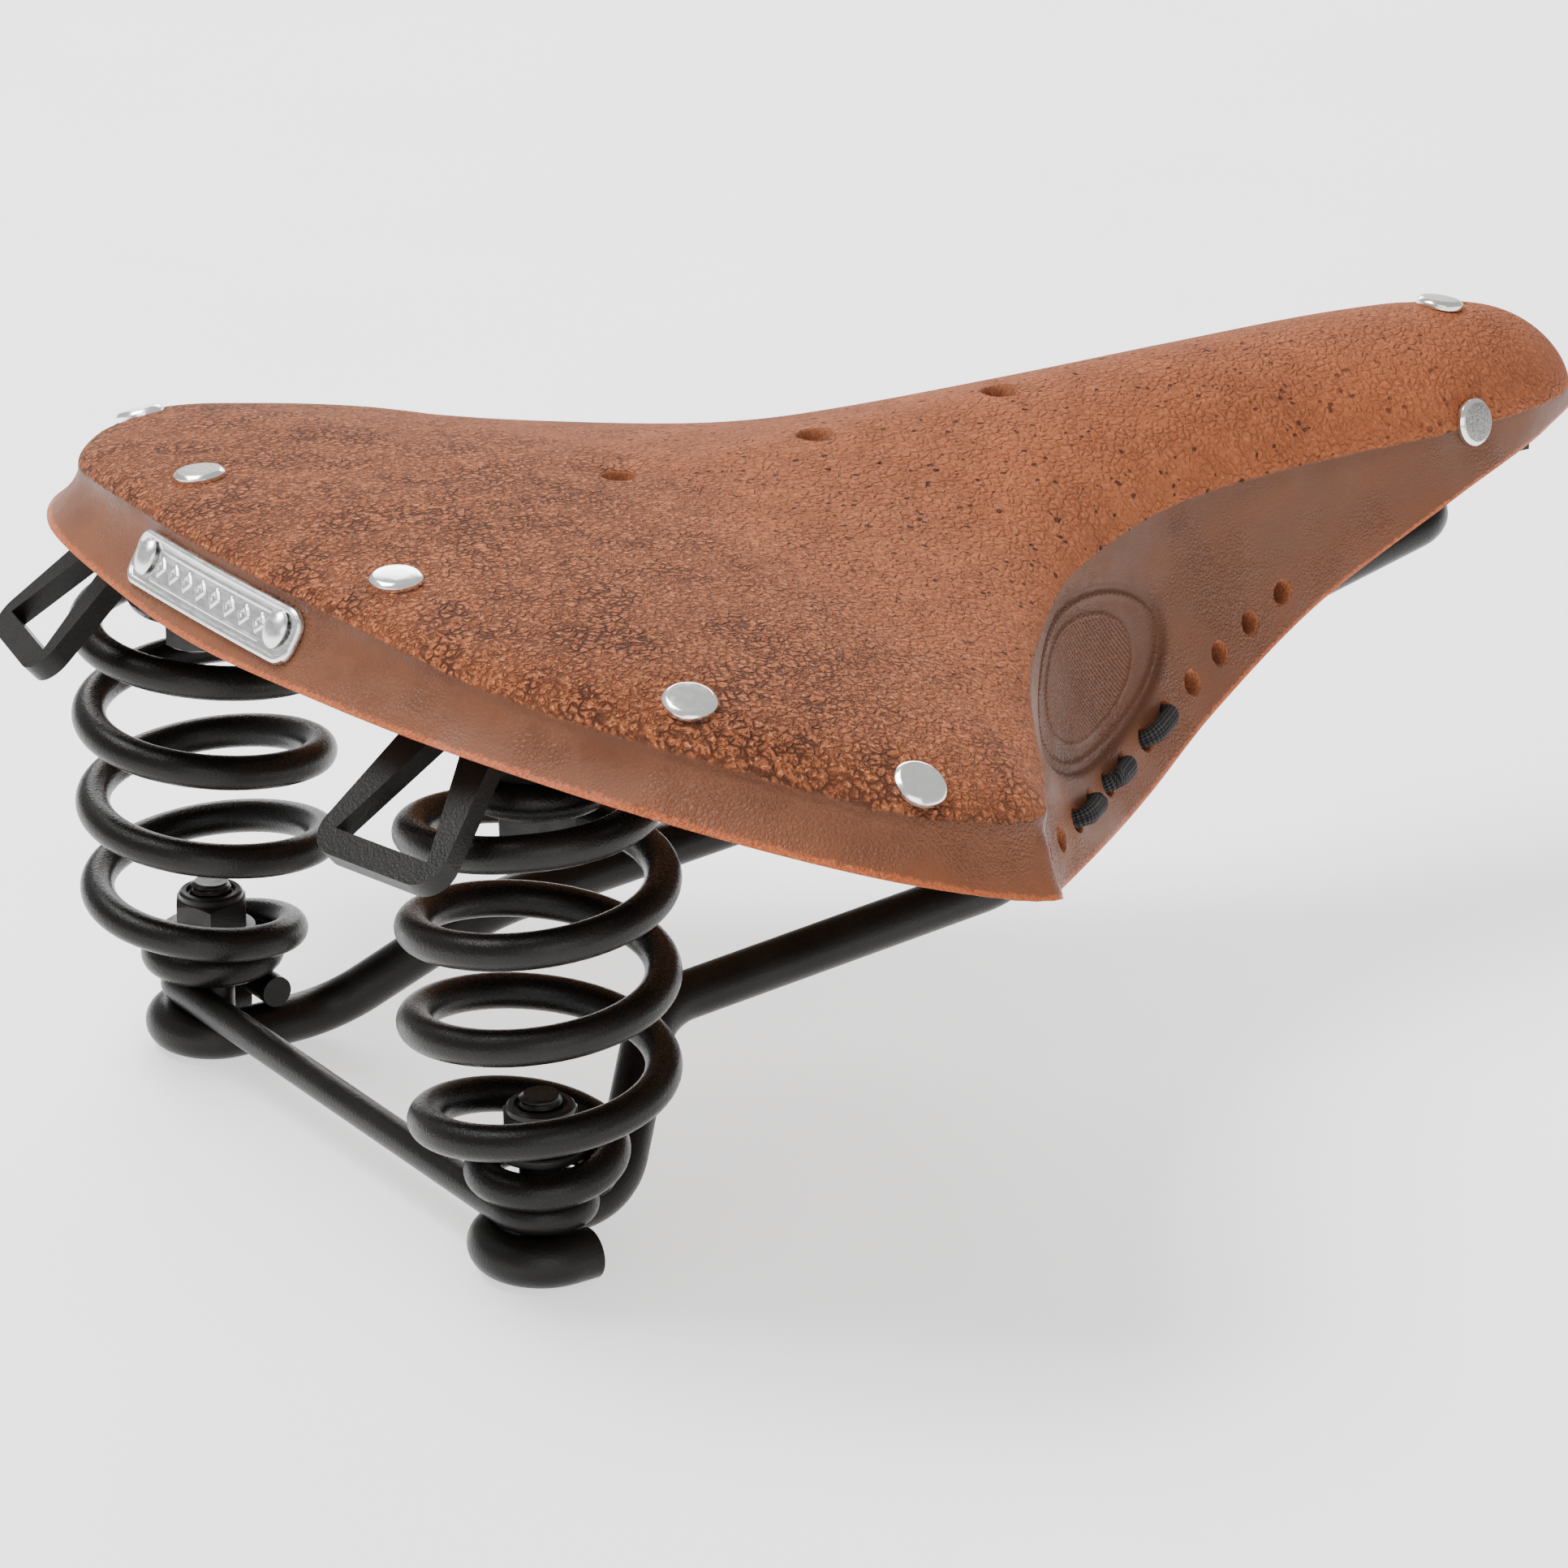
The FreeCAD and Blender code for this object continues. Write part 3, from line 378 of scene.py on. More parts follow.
def flesh_leather():
    """The unfinished underside: pale suede with a loose nap."""
    n = Nodes("leather_flesh_side")
    rest = n.attribute("rest", "Vector")
    nap = n.noise(rest, 1.8, 8.0, 0.7)
    cloud = n.noise(rest, 0.12, 4.0)
    colour = n.mix(n.fit(cloud, 0.3, 0.7), (0.36, 0.19, 0.105), (0.47, 0.27, 0.16))
    colour = n.mix(n.fit(nap, 0.35, 0.7, 0.0, 0.5), colour, (0.24, 0.115, 0.06))
    return n.finish(colour, n.fit(nap, 0.3, 0.7, 0.97, 0.85), n.bump(nap, 0.0004), specular_ior_level=0.2)


def raw_edge():
    """Cut edge of the hide: orange, fibrous and fuzzy."""
    n = Nodes("leather_raw_edge")
    rest = n.attribute("rest", "Vector")
    fibres = n.noise(n.mapping(rest, (1.0, 1.0, 0.5)), 3.2, 8.0, 0.75)
    patches = n.noise(rest, 0.5, 4.0)
    colour = n.mix(n.fit(fibres, 0.35, 0.68), (0.24, 0.075, 0.034), (0.50, 0.18, 0.085))
    colour = n.mix(n.fit(patches, 0.5, 0.7, 0.0, 0.4), colour, (0.25, 0.07, 0.03))
    roughness = n.fit(fibres, 0.3, 0.7, 0.95, 0.8)
    return n.finish(colour, roughness, n.bump(fibres, 0.0005), specular_ior_level=0.2)


# ---------------------------------------------------------------- metal and lace materials
def powder_coat(name, gloss=0.0):
    """Satin black powder coat with its fine orange-peel grain."""
    n = Nodes(name)
    place = n.place()
    peel = n.noise(place, 2600.0, 3.0, 0.6)
    cloud = n.noise(place, 90.0, 4.0)
    colour = n.mix(n.fit(cloud, 0.3, 0.7), (0.0035, 0.003, 0.0026), (0.0085, 0.0075, 0.0065))
    colour = n.mix(n.fit(peel, 0.62, 0.74, 0.0, 0.5), colour, (0.022, 0.020, 0.018))
    roughness = n.fit(peel, 0.35, 0.7, 0.40 - gloss, 0.28 - gloss)
    return n.finish(colour, roughness, n.bump(peel, 0.00009, 0.8), specular_ior_level=0.22)


def black_oxide():
    """Chemically blackened steel of the bolts, nuts and washers."""
    n = Nodes("black_oxide")
    place = n.place()
    cloud = n.noise(place, 240.0, 4.0)
    fine = n.noise(place, 3000.0, 2.0)
    colour = n.mix(n.fit(cloud, 0.3, 0.7), (0.008, 0.0075, 0.007), (0.02, 0.018, 0.016))
    return n.finish(colour, n.fit(cloud, 0.3, 0.7, 0.42, 0.3), n.bump(fine, 0.00004), metallic=0.25,
                    specular_ior_level=0.35)


def nylon_collar():
    n = Nodes("nylon_collar")
    place = n.place()
    cloud = n.noise(place, 700.0, 3.0)
    colour = n.mix(n.fit(cloud, 0.3, 0.7), (0.011, 0.011, 0.012), (0.02, 0.02, 0.021))
    return n.finish(colour, 0.5, n.bump(cloud, 0.00004))


def bright_metal(name, colour_low, colour_high, rough_low, rough_high, brush=900.0, stretch=(1, 1, 1)):
    """Plated metal with fine brushing, small scuffs and cloudy reflections."""
    n = Nodes(name)
    place = n.place()
    brushed = n.noise(n.mapping(place, stretch), brush, 4.0, 0.6)
    scuffs = n.noise(place, 420.0, 6.0, 0.7, 0.8)
    colour = n.mix(n.fit(brushed, 0.3, 0.7), colour_low, colour_high)
    roughness = n.math("ADD", n.fit(brushed, 0.3, 0.7, rough_low, rough_high),
                       n.fit(scuffs, 0.58, 0.75, 0.0, 0.14))
    return n.finish(colour, roughness, n.bump(brushed, 0.00002, 0.7), metallic=1.0)


def sanded_rivet():
    """Rivet head with a sanded, darker flat inside a bright bevelled rim."""
    n = Nodes("nickel_sanded")
    place = n.place()
    grains = n.noise(place, 3600.0, 3.0, 0.8)
    flat = n.attribute("flat")
    dull = n.mix(n.fit(grains, 0.38, 0.62), (0.17, 0.165, 0.155), (0.44, 0.43, 0.41))
    colour = n.mix(flat, (0.80, 0.79, 0.76), dull)
    roughness = n.blend(flat, 0.16, n.fit(grains, 0.3, 0.7, 0.42, 0.6))
    return n.finish(colour, roughness, n.bump(n.math("MULTIPLY", grains, flat), 0.00006), metallic=1.0)


def woven_lace():
    """Dark grey braided cord; along and around are lengths on its surface in millimetres."""
    n = Nodes("woven_lace")
    along = n.attribute("along")
    around = n.attribute("around")
    rise = n.math("MULTIPLY", n.math("ADD", along, n.math("MULTIPLY", around, 0.9)), 6.2)
    fall = n.math("MULTIPLY", n.math("SUBTRACT", along, n.math("MULTIPLY", around, 0.9)), 6.2)
    weave = n.math("MULTIPLY", n.math("SINE", rise), n.math("SINE", fall))
    weave = n.fit(weave, -0.9, 0.9)
    fuzz = n.noise(n.place(), 5200.0, 4.0, 0.7)
    colour = n.mix(weave, (0.004, 0.0038, 0.0038), (0.062, 0.057, 0.057))
    colour = n.mix(n.fit(fuzz, 0.55, 0.75, 0.0, 0.5), colour, (0.12, 0.11, 0.11))
    height = n.math("ADD", weave, n.math("MULTIPLY", fuzz, 0.5))
    return n.finish(colour, 0.82, n.bump(height, 0.00022), specular_ior_level=0.2)


def floor_material():
    n = Nodes("studio_floor")
    grain = n.noise(n.place(), 14.0, 3.0)
    colour = n.mix(n.fit(grain, 0.3, 0.7), (0.90, 0.90, 0.90), (0.93, 0.93, 0.93))
    n.shader.inputs["Emission Color"].default_value = (1.0, 1.0, 1.0, 1.0)
    n.shader.inputs["Emission Strength"].default_value = 1.0
    return n.finish(colour, 0.65)


# ---------------------------------------------------------------- mesh helpers
def mesh_object(name, vertices, faces, materials, indices=None, scale=MM):
    """A smooth-shaded mesh; vertices are in millimetres unless scale says otherwise."""
    mesh = bpy.data.meshes.new(name)
    mesh.from_pydata([tuple(c * scale for c in v) for v in vertices], [], faces)
    for material in materials:
        mesh.materials.append(material)
    if indices is not None:
        mesh.polygons.foreach_set("material_index", indices)
    mesh.polygons.foreach_set("use_smooth", [True] * len(mesh.polygons))
    mesh.update()
    piece = bpy.data.objects.new(name, mesh)
    bpy.context.scene.collection.objects.link(piece)
    return piece


def give(piece, name, values, kind="FLOAT"):
    """Stores one number or vector per vertex."""
    layer = piece.data.attributes.new(name, kind, "POINT")
    if kind == "FLOAT":
        layer.data.foreach_set("value", values)
    else:
        layer.data.foreach_set("vector", [c for v in values for c in v])


def fix_normals(piece):
    cage = bmesh.new()
    cage.from_mesh(piece.data)
    bmesh.ops.recalc_face_normals(cage, faces=cage.faces)
    cage.to_mesh(piece.data)
    cage.free()


def sharpen(piece, angle=0.6):
    piece.data.set_sharp_from_angle(angle=angle)


def grid_faces(rows, columns, start=0, closed_columns=False):
    faces = []
    for i in range(rows - 1):
        for j in range(columns if closed_columns else columns - 1):
            k = (j + 1) % columns
            a, b = start + i * columns + j, start + i * columns + k
            faces.append((a, b, b + columns, a + columns))
    return faces


def aim(point, direction, side_hint=None):
    """Matrix whose local +Z points along direction, at a point in millimetres."""
    z = direction.normalized()
    hint = side_hint or (Vector((1, 0, 0)) if abs(z.x) < 0.9 else Vector((0, 1, 0)))
    x = (hint - z * hint.dot(z)).normalized()
    y = z.cross(x)
    matrix = Matrix((x, y, z)).transposed().to_4x4()
    matrix.translation = point
    return matrix


def revolve(name, profile, matrix, materials, around=72, flat_radius=None):
    """Turned piece from (radius, height) pairs; the first and last lie on the axis."""
    vertices = [matrix @ Vector((0, 0, profile[0][1]))]
    flat = [1.0 if flat_radius else 0.0]
    for radius, height in profile[1:-1]:
        for k in range(around):
            angle = 2 * pi * k / around
            vertices.append(matrix @ Vector((radius * cos(angle), radius * sin(angle), height)))
            flat.append(1.0 if flat_radius and radius <= flat_radius and height > 0 else 0.0)
    vertices.append(matrix @ Vector((0, 0, profile[-1][1])))
    flat.append(0.0)
    rings = len(profile) - 2
    faces = grid_faces(rings, around, 1, True)
    for k in range(around):
        after = (k + 1) % around
        faces.append((0, 1 + after, 1 + k))
        last = 1 + (rings - 1) * around
        faces.append((len(vertices) - 1, last + k, last + after))
    piece = mesh_object(name, vertices, faces, materials)
    give(piece, "flat", flat)
    fix_normals(piece)
    return piece


def tube(name, points, radius, material, around=24, section=None, hint=None, dome=0.35):
    """Round bar swept along points; section(k, angle) may change the radius."""
    count = len(points)
    tangents = [(points[min(i + 1, count - 1)] - points[max(i - 1, 0)]).normalized() for i in range(count)]
    normal = hint if hint is not None else tangents[0].orthogonal()
    vertices, along, around_at = [], [], []
    travelled = 0.0
    rings = [(0, -dome, 0.6), (0, -dome * 0.35, 0.9)]
    rings += [(i, 0.0, 1.0) for i in range(count)]
    rings += [(count - 1, dome * 0.35, 0.9), (count - 1, dome, 0.6)]
    for i, shift, shrink in rings:
        tangent = tangents[i]
        normal = (normal - tangent * normal.dot(tangent)).normalized()
        side = tangent.cross(normal)
        if i > 0 and shift == 0.0:
            travelled += (points[i] - points[i - 1]).length
        centre = points[i] + tangent * shift
        for k in range(around):
            angle = 2 * pi * k / around
            size = section(travelled, angle) if section else (radius, radius)
            vertices.append(centre + normal * (cos(angle) * size[0] * shrink)
                            + side * (sin(angle) * size[1] * shrink))
            along.append(travelled)
            around_at.append(angle * radius)
    faces = grid_faces(len(rings), around, 0, True)
    faces.append(tuple(range(around - 1, -1, -1)))
    faces.append(tuple(range((len(rings) - 1) * around, len(rings) * around)))
    piece = mesh_object(name, vertices, faces, [material])
    give(piece, "along", along)
    give(piece, "around", around_at)
    fix_normals(piece)
    return piece


# ---------------------------------------------------------------- holes in the leather
FIRST_HOLE_X = 81.3
HOLE_ABOVE_EDGE = 4.8
HOLE_SPACING = 8.1
LACE_HOLES = 13
VENT_HOLES_X = [45.0, 12.3, -20.9]


def hole_level(u):
    return 2 - HOLE_ABOVE_EDGE / (outline(RIM, u).z - outline(EDGE, u).z)


def lace_holes():
    """Centres and outward directions of one flap's holes, from the front one back."""
    u = 12.0
    while leather_point(u, hole_level(u)).x > FIRST_HOLE_X:
        u -= 0.01
    holes = [u]
    while len(holes) < LACE_HOLES:
        last = leather_point(holes[-1], hole_level(holes[-1]))
        while (leather_point(u, hole_level(u)) - last).length < HOLE_SPACING:
            u -= 0.01
        holes.append(u)
    return [(leather_point(u, hole_level(u)), surface_normal(u, hole_level(u))) for u in holes]


HOLES = lace_holes()


def hole_cutter(name, centre, normal, radius, reach, material):
    """Slightly flared plug that bores one hole and leaves a raw wall."""
    profile = [(0, -reach), (radius * 1.05, -reach), (radius, -3.0), (radius, -1.2), (radius * 1.12, -0.35),
               (radius * 1.35, 0.25), (radius * 1.5, 3.0), (0, 3.0)]
    cutter = revolve(name, profile, aim(centre, normal), [material], around=28)
    return cutter


# ---------------------------------------------------------------- the leather piece
STAMP_STATION, STAMP_LEVEL = 8.66, 1.47
STAMP_LONG, STAMP_SHORT = 26.0, 11.0
STAMP_TILT = 0.045


def stamp_frame():
    centre = leather_point(STAMP_STATION, STAMP_LEVEL)
    normal = surface_normal(STAMP_STATION, STAMP_LEVEL)
    level_line = Vector((0, 0, 1)).cross(normal).normalized()
    up = normal.cross(level_line)
    long_axis = level_line * cos(STAMP_TILT) + up * sin(STAMP_TILT)
    short_axis = normal.cross(long_axis)
    return centre, long_axis, short_axis


STAMP_CENTRE, STAMP_LONG_AXIS, STAMP_SHORT_AXIS = stamp_frame()


def stamp_relief(point):
    """Height, hatch, shade and plane position of the oval stamp, for a point with y positive."""
    offset = point - STAMP_CENTRE
    if offset.length > 38:
        return 0.0, 0.0, 0.0, (99.0, 99.0, 0.0)
    p, q = offset.dot(STAMP_LONG_AXIS), offset.dot(STAMP_SHORT_AXIS)
    radius = max(hypot(p / STAMP_LONG, q / STAMP_SHORT), 0.01)
    angle = atan2(q / STAMP_SHORT, p / STAMP_LONG)
    slope = hypot(p / STAMP_LONG ** 2, q / STAMP_SHORT ** 2) / radius
    outside = (radius - 1.0) / slope
    past_field = (radius - 0.68) / slope

    def ridge(distance, centre, width):
        return exp(-((distance - centre) / width) ** 2)

    inside = 1 - smooth(-0.2, 0.9, outside)
    field = 1 - smooth(-0.35, 0.0, past_field)
    height = -0.55 * inside - 0.25 * ridge(outside, 0.4, 0.6)
    height += 0.50 * ridge(outside, -0.9, 0.38) * (0.8 + 0.2 * sin(angle * 96))
    height += 0.40 * ridge(past_field, 0.35, 0.32) * (0.85 + 0.15 * sin(angle * 70))
    height += 0.10 * field
    band = inside * (1 - smooth(-0.3, 0.3, -past_field))
    shade = 0.75 * band + 0.9 * ridge(outside, 0.7, 1.1) + 0.25 * field
    return height, field, min(shade, 1.0), (p, q, 0.0)


def leather_stations():
    rear = steps(0, 6, 190)
    flank = steps(6, 10.6, 300)
    nose = steps(10.6, LAST, 110)
    return rear + flank[1:] + nose[1:]


def leather_levels():
    crown = steps(0.0, 0.9, 52)
    fold = steps(0.9, 1.06, 14)
    skirt = steps(1.06, 2.0, 104)
    return crown + fold[1:] + skirt[1:]


def crease(u, v):
    """How far the fold between rear apron and flank stands out of the smooth skirt."""
    ridge = exp(-((u - 5.15) / 0.16) ** 2) * smooth(1.0, 1.5, v)
    dish = exp(-((u - 6.3) / 0.75) ** 2) * smooth(1.0, 1.25, v) * (1 - smooth(1.75, 2.0, v))
    return 0.9 * ridge - 1.2 * dish


def make_leather(outer_material, flesh_material, raw_material):
    """Closed hide: outer face, underside and rolled raw edge, then holes cut through it."""
    stations, levels = leather_stations(), leather_levels()
    across = [-v for v in reversed(levels[1:])] + levels
    rows, columns = len(stations), len(across)
    vertices, level_at, forward_at, hatch_at, shade_at, place_at, gap_at = [], [], [], [], [], [], []

    outer = [Station(u) for u in stations]
    for i, (u, station) in enumerate(zip(stations, outer)):
        half = []
        before, after = outer[max(i - 1, 0)], outer[min(i + 1, rows - 1)]
        for v in levels:
            point = station.at(v)
            along = after.at(v) - before.at(v)
            down = station.at(min(v + 0.01, 2.0)) - station.at(max(v - 0.01, 0.0))
            normal = along.cross(down)
            if v == 0 or normal.length < 1e-6:
                normal = Vector((-along.z, 0, along.x))
            normal.normalize()
            if i in (0, rows - 1):
                normal.y = 0
            lift, hatch, shade, place = stamp_relief(point) if v > 1 else (0.0, 0.0, 0.0, (99.0, 99.0, 0.0))
            lift += crease(u, v)
            dimple = (point - leather_dimple).length
            lift -= 0.9 * exp(-(dimple / 5.5) ** 2)
            for rivet in rivet_points:
                lift -= 0.35 * exp(-((point - rivet).length / 5.2) ** 4)
            half.append((point + normal * lift, hatch, shade, place))
        for v in across:
            index = levels.index(abs(v))
            point, hatch, shade, place = half[index]
            side = 1 if v >= 0 else -1
            vertices.append(flipped(point, side))
            level_at.append(abs(v))
            gap_at.append((2 - abs(v)) * (station.rim.z - station.edge.z))
            forward_at.append(u / LAST)
            hatch_at.append(hatch)
            shade_at.append(shade)
            place_at.append(place)
    faces = grid_faces(rows, columns)
    kinds = [0] * len(faces)

    inner_levels = steps(0, 1, 14) + steps(1, 2, 9)[1:]
    inner_across = [-v for v in reversed(inner_levels[1:])] + inner_levels
    inner_start = len(vertices)
    for u in stations:
        station = Station(u, LEATHER)
        for v in inner_across:
            vertices.append(flipped(station.at(abs(v)), 1 if v >= 0 else -1))
    inner_columns = len(inner_across)
    inner_faces = [face[::-1] for face in grid_faces(rows, inner_columns, inner_start)]
    faces += inner_faces
    kinds += [1] * len(inner_faces)

    bulges = steps(0, 1, 5)[1:-1]
    for side_first, inner_first in ((0, 0), (columns - 1, inner_columns - 1)):
        start = len(vertices)
        for i in range(rows):
            outer_vertex = vertices[i * columns + side_first]
            inner_vertex = vertices[inner_start + i * inner_columns + inner_first]
            for f in bulges:
                fray = 0.22 * noise.noise(Vector((i * 0.37, f * 3, 0)))
                roll = Vector((0, 0, -(0.55 + fray) * sin(pi * f)))
                vertices.append(outer_vertex.lerp(inner_vertex, f) + roll)
        for i in range(rows - 1):
            rings = []
            for row in (i, i + 1):
                bulge_row = start + row * len(bulges)
                rings.append([row * columns + side_first] + [bulge_row + k for k in range(len(bulges))]
                             + [inner_start + row * inner_columns + inner_first])
            for k in range(len(bulges) + 1):
                face = (rings[0][k], rings[0][k + 1], rings[1][k + 1], rings[1][k])
                faces.append(face if side_first else face[::-1])
                kinds.append(2)
    extra = len(vertices) - len(level_at)
    level_at += [2.0] * extra
    gap_at += [0.0] * extra
    forward_at += [0.5] * extra
    hatch_at += [0.0] * extra
    shade_at += [0.0] * extra
    place_at += [(99.0, 99.0, 0.0)] * extra

    hide = mesh_object("leather", vertices, faces, [outer_material, flesh_material, raw_material], kinds)
    give(hide, "level", level_at)
    give(hide, "edge_gap", gap_at)
    give(hide, "forward", forward_at)
    give(hide, "stamp_hatch", hatch_at)
    give(hide, "stamp_shade", shade_at)
    give(hide, "stamp_place", place_at, "FLOAT_VECTOR")
    weld_and_cut(hide, raw_material)
    give(hide, "rest", [v.co / MM for v in hide.data.vertices], "FLOAT_VECTOR")
    return hide


def weld_and_cut(hide, raw_material):
    """Joins the halves on the centre line and bores the vent and lace holes."""
    cage = bmesh.new()
    cage.from_mesh(hide.data)
    bmesh.ops.remove_doubles(cage, verts=cage.verts, dist=0.00001)
    bmesh.ops.recalc_face_normals(cage, faces=cage.faces)
    cage.to_mesh(hide.data)
    cage.free()
    cutters = []
    for x in VENT_HOLES_X:
        top = leather_point_above(x)
        cutters.append(hole_cutter("vent_cutter", top, Vector((0, 0, 1)), 2.35, 12.0, raw_material))
    for side in (1, -1):
        for centre, normal in HOLES:
            cutters.append(hole_cutter("lace_cutter", flipped(centre, side), flipped(normal, side), 1.5, 9.0,
                                       raw_material))
    tool = join(cutters)
    cut = hide.modifiers.new("holes", "BOOLEAN")
    cut.object = tool
    cut.operation = "DIFFERENCE"
    cut.solver = "EXACT"
    cut.use_self = False
    cut.material_mode = "TRANSFER"
    bpy.context.view_layer.update()
    evaluated = hide.evaluated_get(bpy.context.evaluated_depsgraph_get())
    mesh = bpy.data.meshes.new_from_object(evaluated)
    hide.modifiers.clear()
    hide.data = mesh
    bpy.data.objects.remove(tool, do_unlink=True)


def leather_point_above(x):
    """Point of the spine at x."""
    low, high = 0.0, float(LAST)
    while high - low > 0.001:
        middle = (low + high) / 2
        if through(SPINE_X, middle) < x:
            low = middle
        else:
            high = middle
    return leather_point(low, 0)


def join(objects):
    """One mesh object from several."""
    cage = bmesh.new()
    materials = []
    for piece in objects:
        cage.from_mesh(piece.data)
        materials = list(piece.data.materials)
    mesh = bpy.data.meshes.new("joined")
    cage.to_mesh(mesh)
    cage.free()
    for material in materials:
        mesh.materials.append(material)
    for piece in objects:
        bpy.data.objects.remove(piece, do_unlink=True)
    joined = bpy.data.objects.new("joined", mesh)
    bpy.context.scene.collection.objects.link(joined)
    return joined


# ---------------------------------------------------------------- rivets
REAR_RIVETS = [(1.35, 0.44), (2.95, 0.7), (4.2, 0.84)]
NOSE_SIDE_RIVET = (12.15, 0.94)
NOSE_TOP_RIVET = (13.3, 0.0)
RIVET_PROFILE = [(0, 1.24), (1.6, 1.23), (2.9, 1.19), (3.1, 1.12), (3.45, 0.8), (3.57, 0.66), (3.6, 0.5),
                 (3.55, -0.1), (2.0, -0.3), (2.0, -6.9), (3.1, -7.2), (3.2, -7.5), (2.6, -8.0), (0, -8.1)]
leather_dimple = leather_point_above(VENT_HOLES_X[-1])
rivet_points = [leather_point(u, v) for u, v in REAR_RIVETS + [NOSE_SIDE_RIVET, NOSE_TOP_RIVET]]


def make_rivet(node, place, side, body, material):
    u, v = place
    point = flipped(leather_point(u, v), side)
    normal = flipped(surface_normal(u, v), side)
    piece = revolve("rivet_" + node, RIVET_PROFILE, aim(point - normal * 0.3, normal), [material],
                    flat_radius=2.9)
    sharpen(piece, 0.5)
    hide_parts(node)
    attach(piece, body)


# ---------------------------------------------------------------- springs
SPRING_X, SPRING_Y = -63.0, 45.0
EYE_RADIUS, COIL_RADIUS, WIRE_RADIUS, PITCH = 8.0, 16.5, 2.5, 13.5
LOWER_EYE_Z, UPPER_EYE_Z = -9.5, 46.1


def spring_point(turn, side):
    """Centre line of a spring; turn 0 is the start of its first full-size coil."""
    first_z = LOWER_EYE_Z + 11.6
    last_z = first_z + 3 * PITCH
    if turn < 0:
        f = max(turn + 1, 0)
        radius = EYE_RADIUS + (COIL_RADIUS - EYE_RADIUS) * smooth(0, 1, f)
        z = LOWER_EYE_Z + (first_z - LOWER_EYE_Z) * f ** 1.35
    elif turn <= 3:
        radius = COIL_RADIUS
        z = first_z + PITCH * turn
    else:
        f = min((turn - 3) / 0.75, 1)
        radius = COIL_RADIUS + (EYE_RADIUS - COIL_RADIUS) * smooth(0, 1, f)
        z = last_z + (UPPER_EYE_Z - last_z) * (1 - (1 - f) ** 2)
    angle = -2.1817 + 2 * pi * turn
    return Vector((SPRING_X + radius * cos(angle), side * (SPRING_Y - radius * sin(angle)), z))


def make_spring(side, word, material):
    points = [spring_point(turn, side) for turn in steps(-1.82, 4.55, 420)]
    spring = tube(f"spring_{word}", points, WIRE_RADIUS, material, around=28)
    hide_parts(f"coil_spring_{word}")
    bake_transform(spring)


# ---------------------------------------------------------------- bolts and nuts
def hex_radius(apothem, angle):
    """Distance from the axis to a hexagon's side; a corner lies at angle 0."""
    fold = angle % (pi / 3) - pi / 6
    return apothem / cos(fold)


def lathe(name, rings, matrix, materials, around, loop=False):
    """Skin over rings given as functions of the angle to (radius, height)."""
    vertices = []
    for ring in rings:
        for k in range(around):
            angle = 2 * pi * k / around
            radius, height = ring(angle)
            vertices.append(matrix @ Vector((radius * cos(angle), radius * sin(angle), height)))
    count = len(rings)
    faces = grid_faces(count, around, 0, True)
    if loop:
        last = (count - 1) * around
        faces += [(last + k, last + (k + 1) % around, (k + 1) % around, k) for k in range(around)]
    else:
        faces.append(tuple(range(around - 1, -1, -1)))
        faces.append(tuple(range((count - 1) * around, count * around)))
    piece = mesh_object(name, vertices, faces, materials)
    fix_normals(piece)
    return piece


def still(radius, height):
    """Round ring of a lathe."""
    return lambda angle: (radius, height)


def settle(piece, node, body, angle=0.5):
    """Sharpens a rigid piece's edges, hides the CAD node it takes the place of and attaches the piece to its
    body.
    """
    sharpen(piece, angle)
    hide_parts(node)
    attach(piece, body)


APOTHEM = 5.77 * cos(pi / 6)
NUT_BORE = 3.05
CHAMFER_RADIUS = APOTHEM * 0.99


def hex_ring(height, direction):
    """Hexagonal ring whose corners are turned down in a chamfer."""
    def ring(angle):
        radius = hex_radius(APOTHEM - 0.02, angle)
        return radius, height + direction * (0.1 + max(radius - CHAMFER_RADIUS, 0) * 0.55)
    return ring


def make_nut(node, matrix, height, material, body, collar=None):
    """Hexagon nut chamfered on both faces; a collar adds a nylon ring on top."""
    rings = [still(NUT_BORE, 0.45), still(NUT_BORE + 0.45, 0.0),
             still(CHAMFER_RADIUS - 0.1, 0.0), hex_ring(0.0, 1),
             hex_ring(height, -1), still(CHAMFER_RADIUS - 0.1, height)]
    if collar:
        rings += [still(4.7, height), still(4.65, height + 0.8), still(4.3, height + 1.15),
                  still(3.6, height + 1.15), still(3.4, height + 0.6), still(NUT_BORE, height + 0.6)]
    else:
        rings += [still(NUT_BORE + 0.45, height), still(NUT_BORE, height - 0.45)]
    around = 96
    materials = [material, collar] if collar else [material]
    piece = lathe(node + "_hexagon", rings, matrix, materials, around, True)
    if collar:
        for polygon in piece.data.polygons:
            if 8 * around <= polygon.index < 11 * around:
                polygon.material_index = 1
    settle(piece, node, body, 0.4)


def thread_ring(height, top, radius):
    """Ring of a screw thread of 1 mm pitch, fading out at the end."""
    def ring(angle):
        turn = (height - angle / (2 * pi)) % 1.0
        ridge = 1 - abs(2 * turn - 1)
        return radius - 0.33 * (1 - ridge) - 0.4 * smooth(top - 0.6, top, height), height
    return ring


def make_bolt(node, matrix, head, thread_from, top, material, body):
    """Turned head given as (radius, height) pairs, then a shank with a cut thread."""
    rings = [still(radius, height) for radius, height in head]
    count = max(int((top - thread_from) / 0.125), 2)
    rings += [thread_ring(height, top, 2.98) for height in steps(thread_from, top, count)]
    piece = lathe(node + "_threaded", rings, matrix, [material], 48)
    settle(piece, node, body, 0.7)


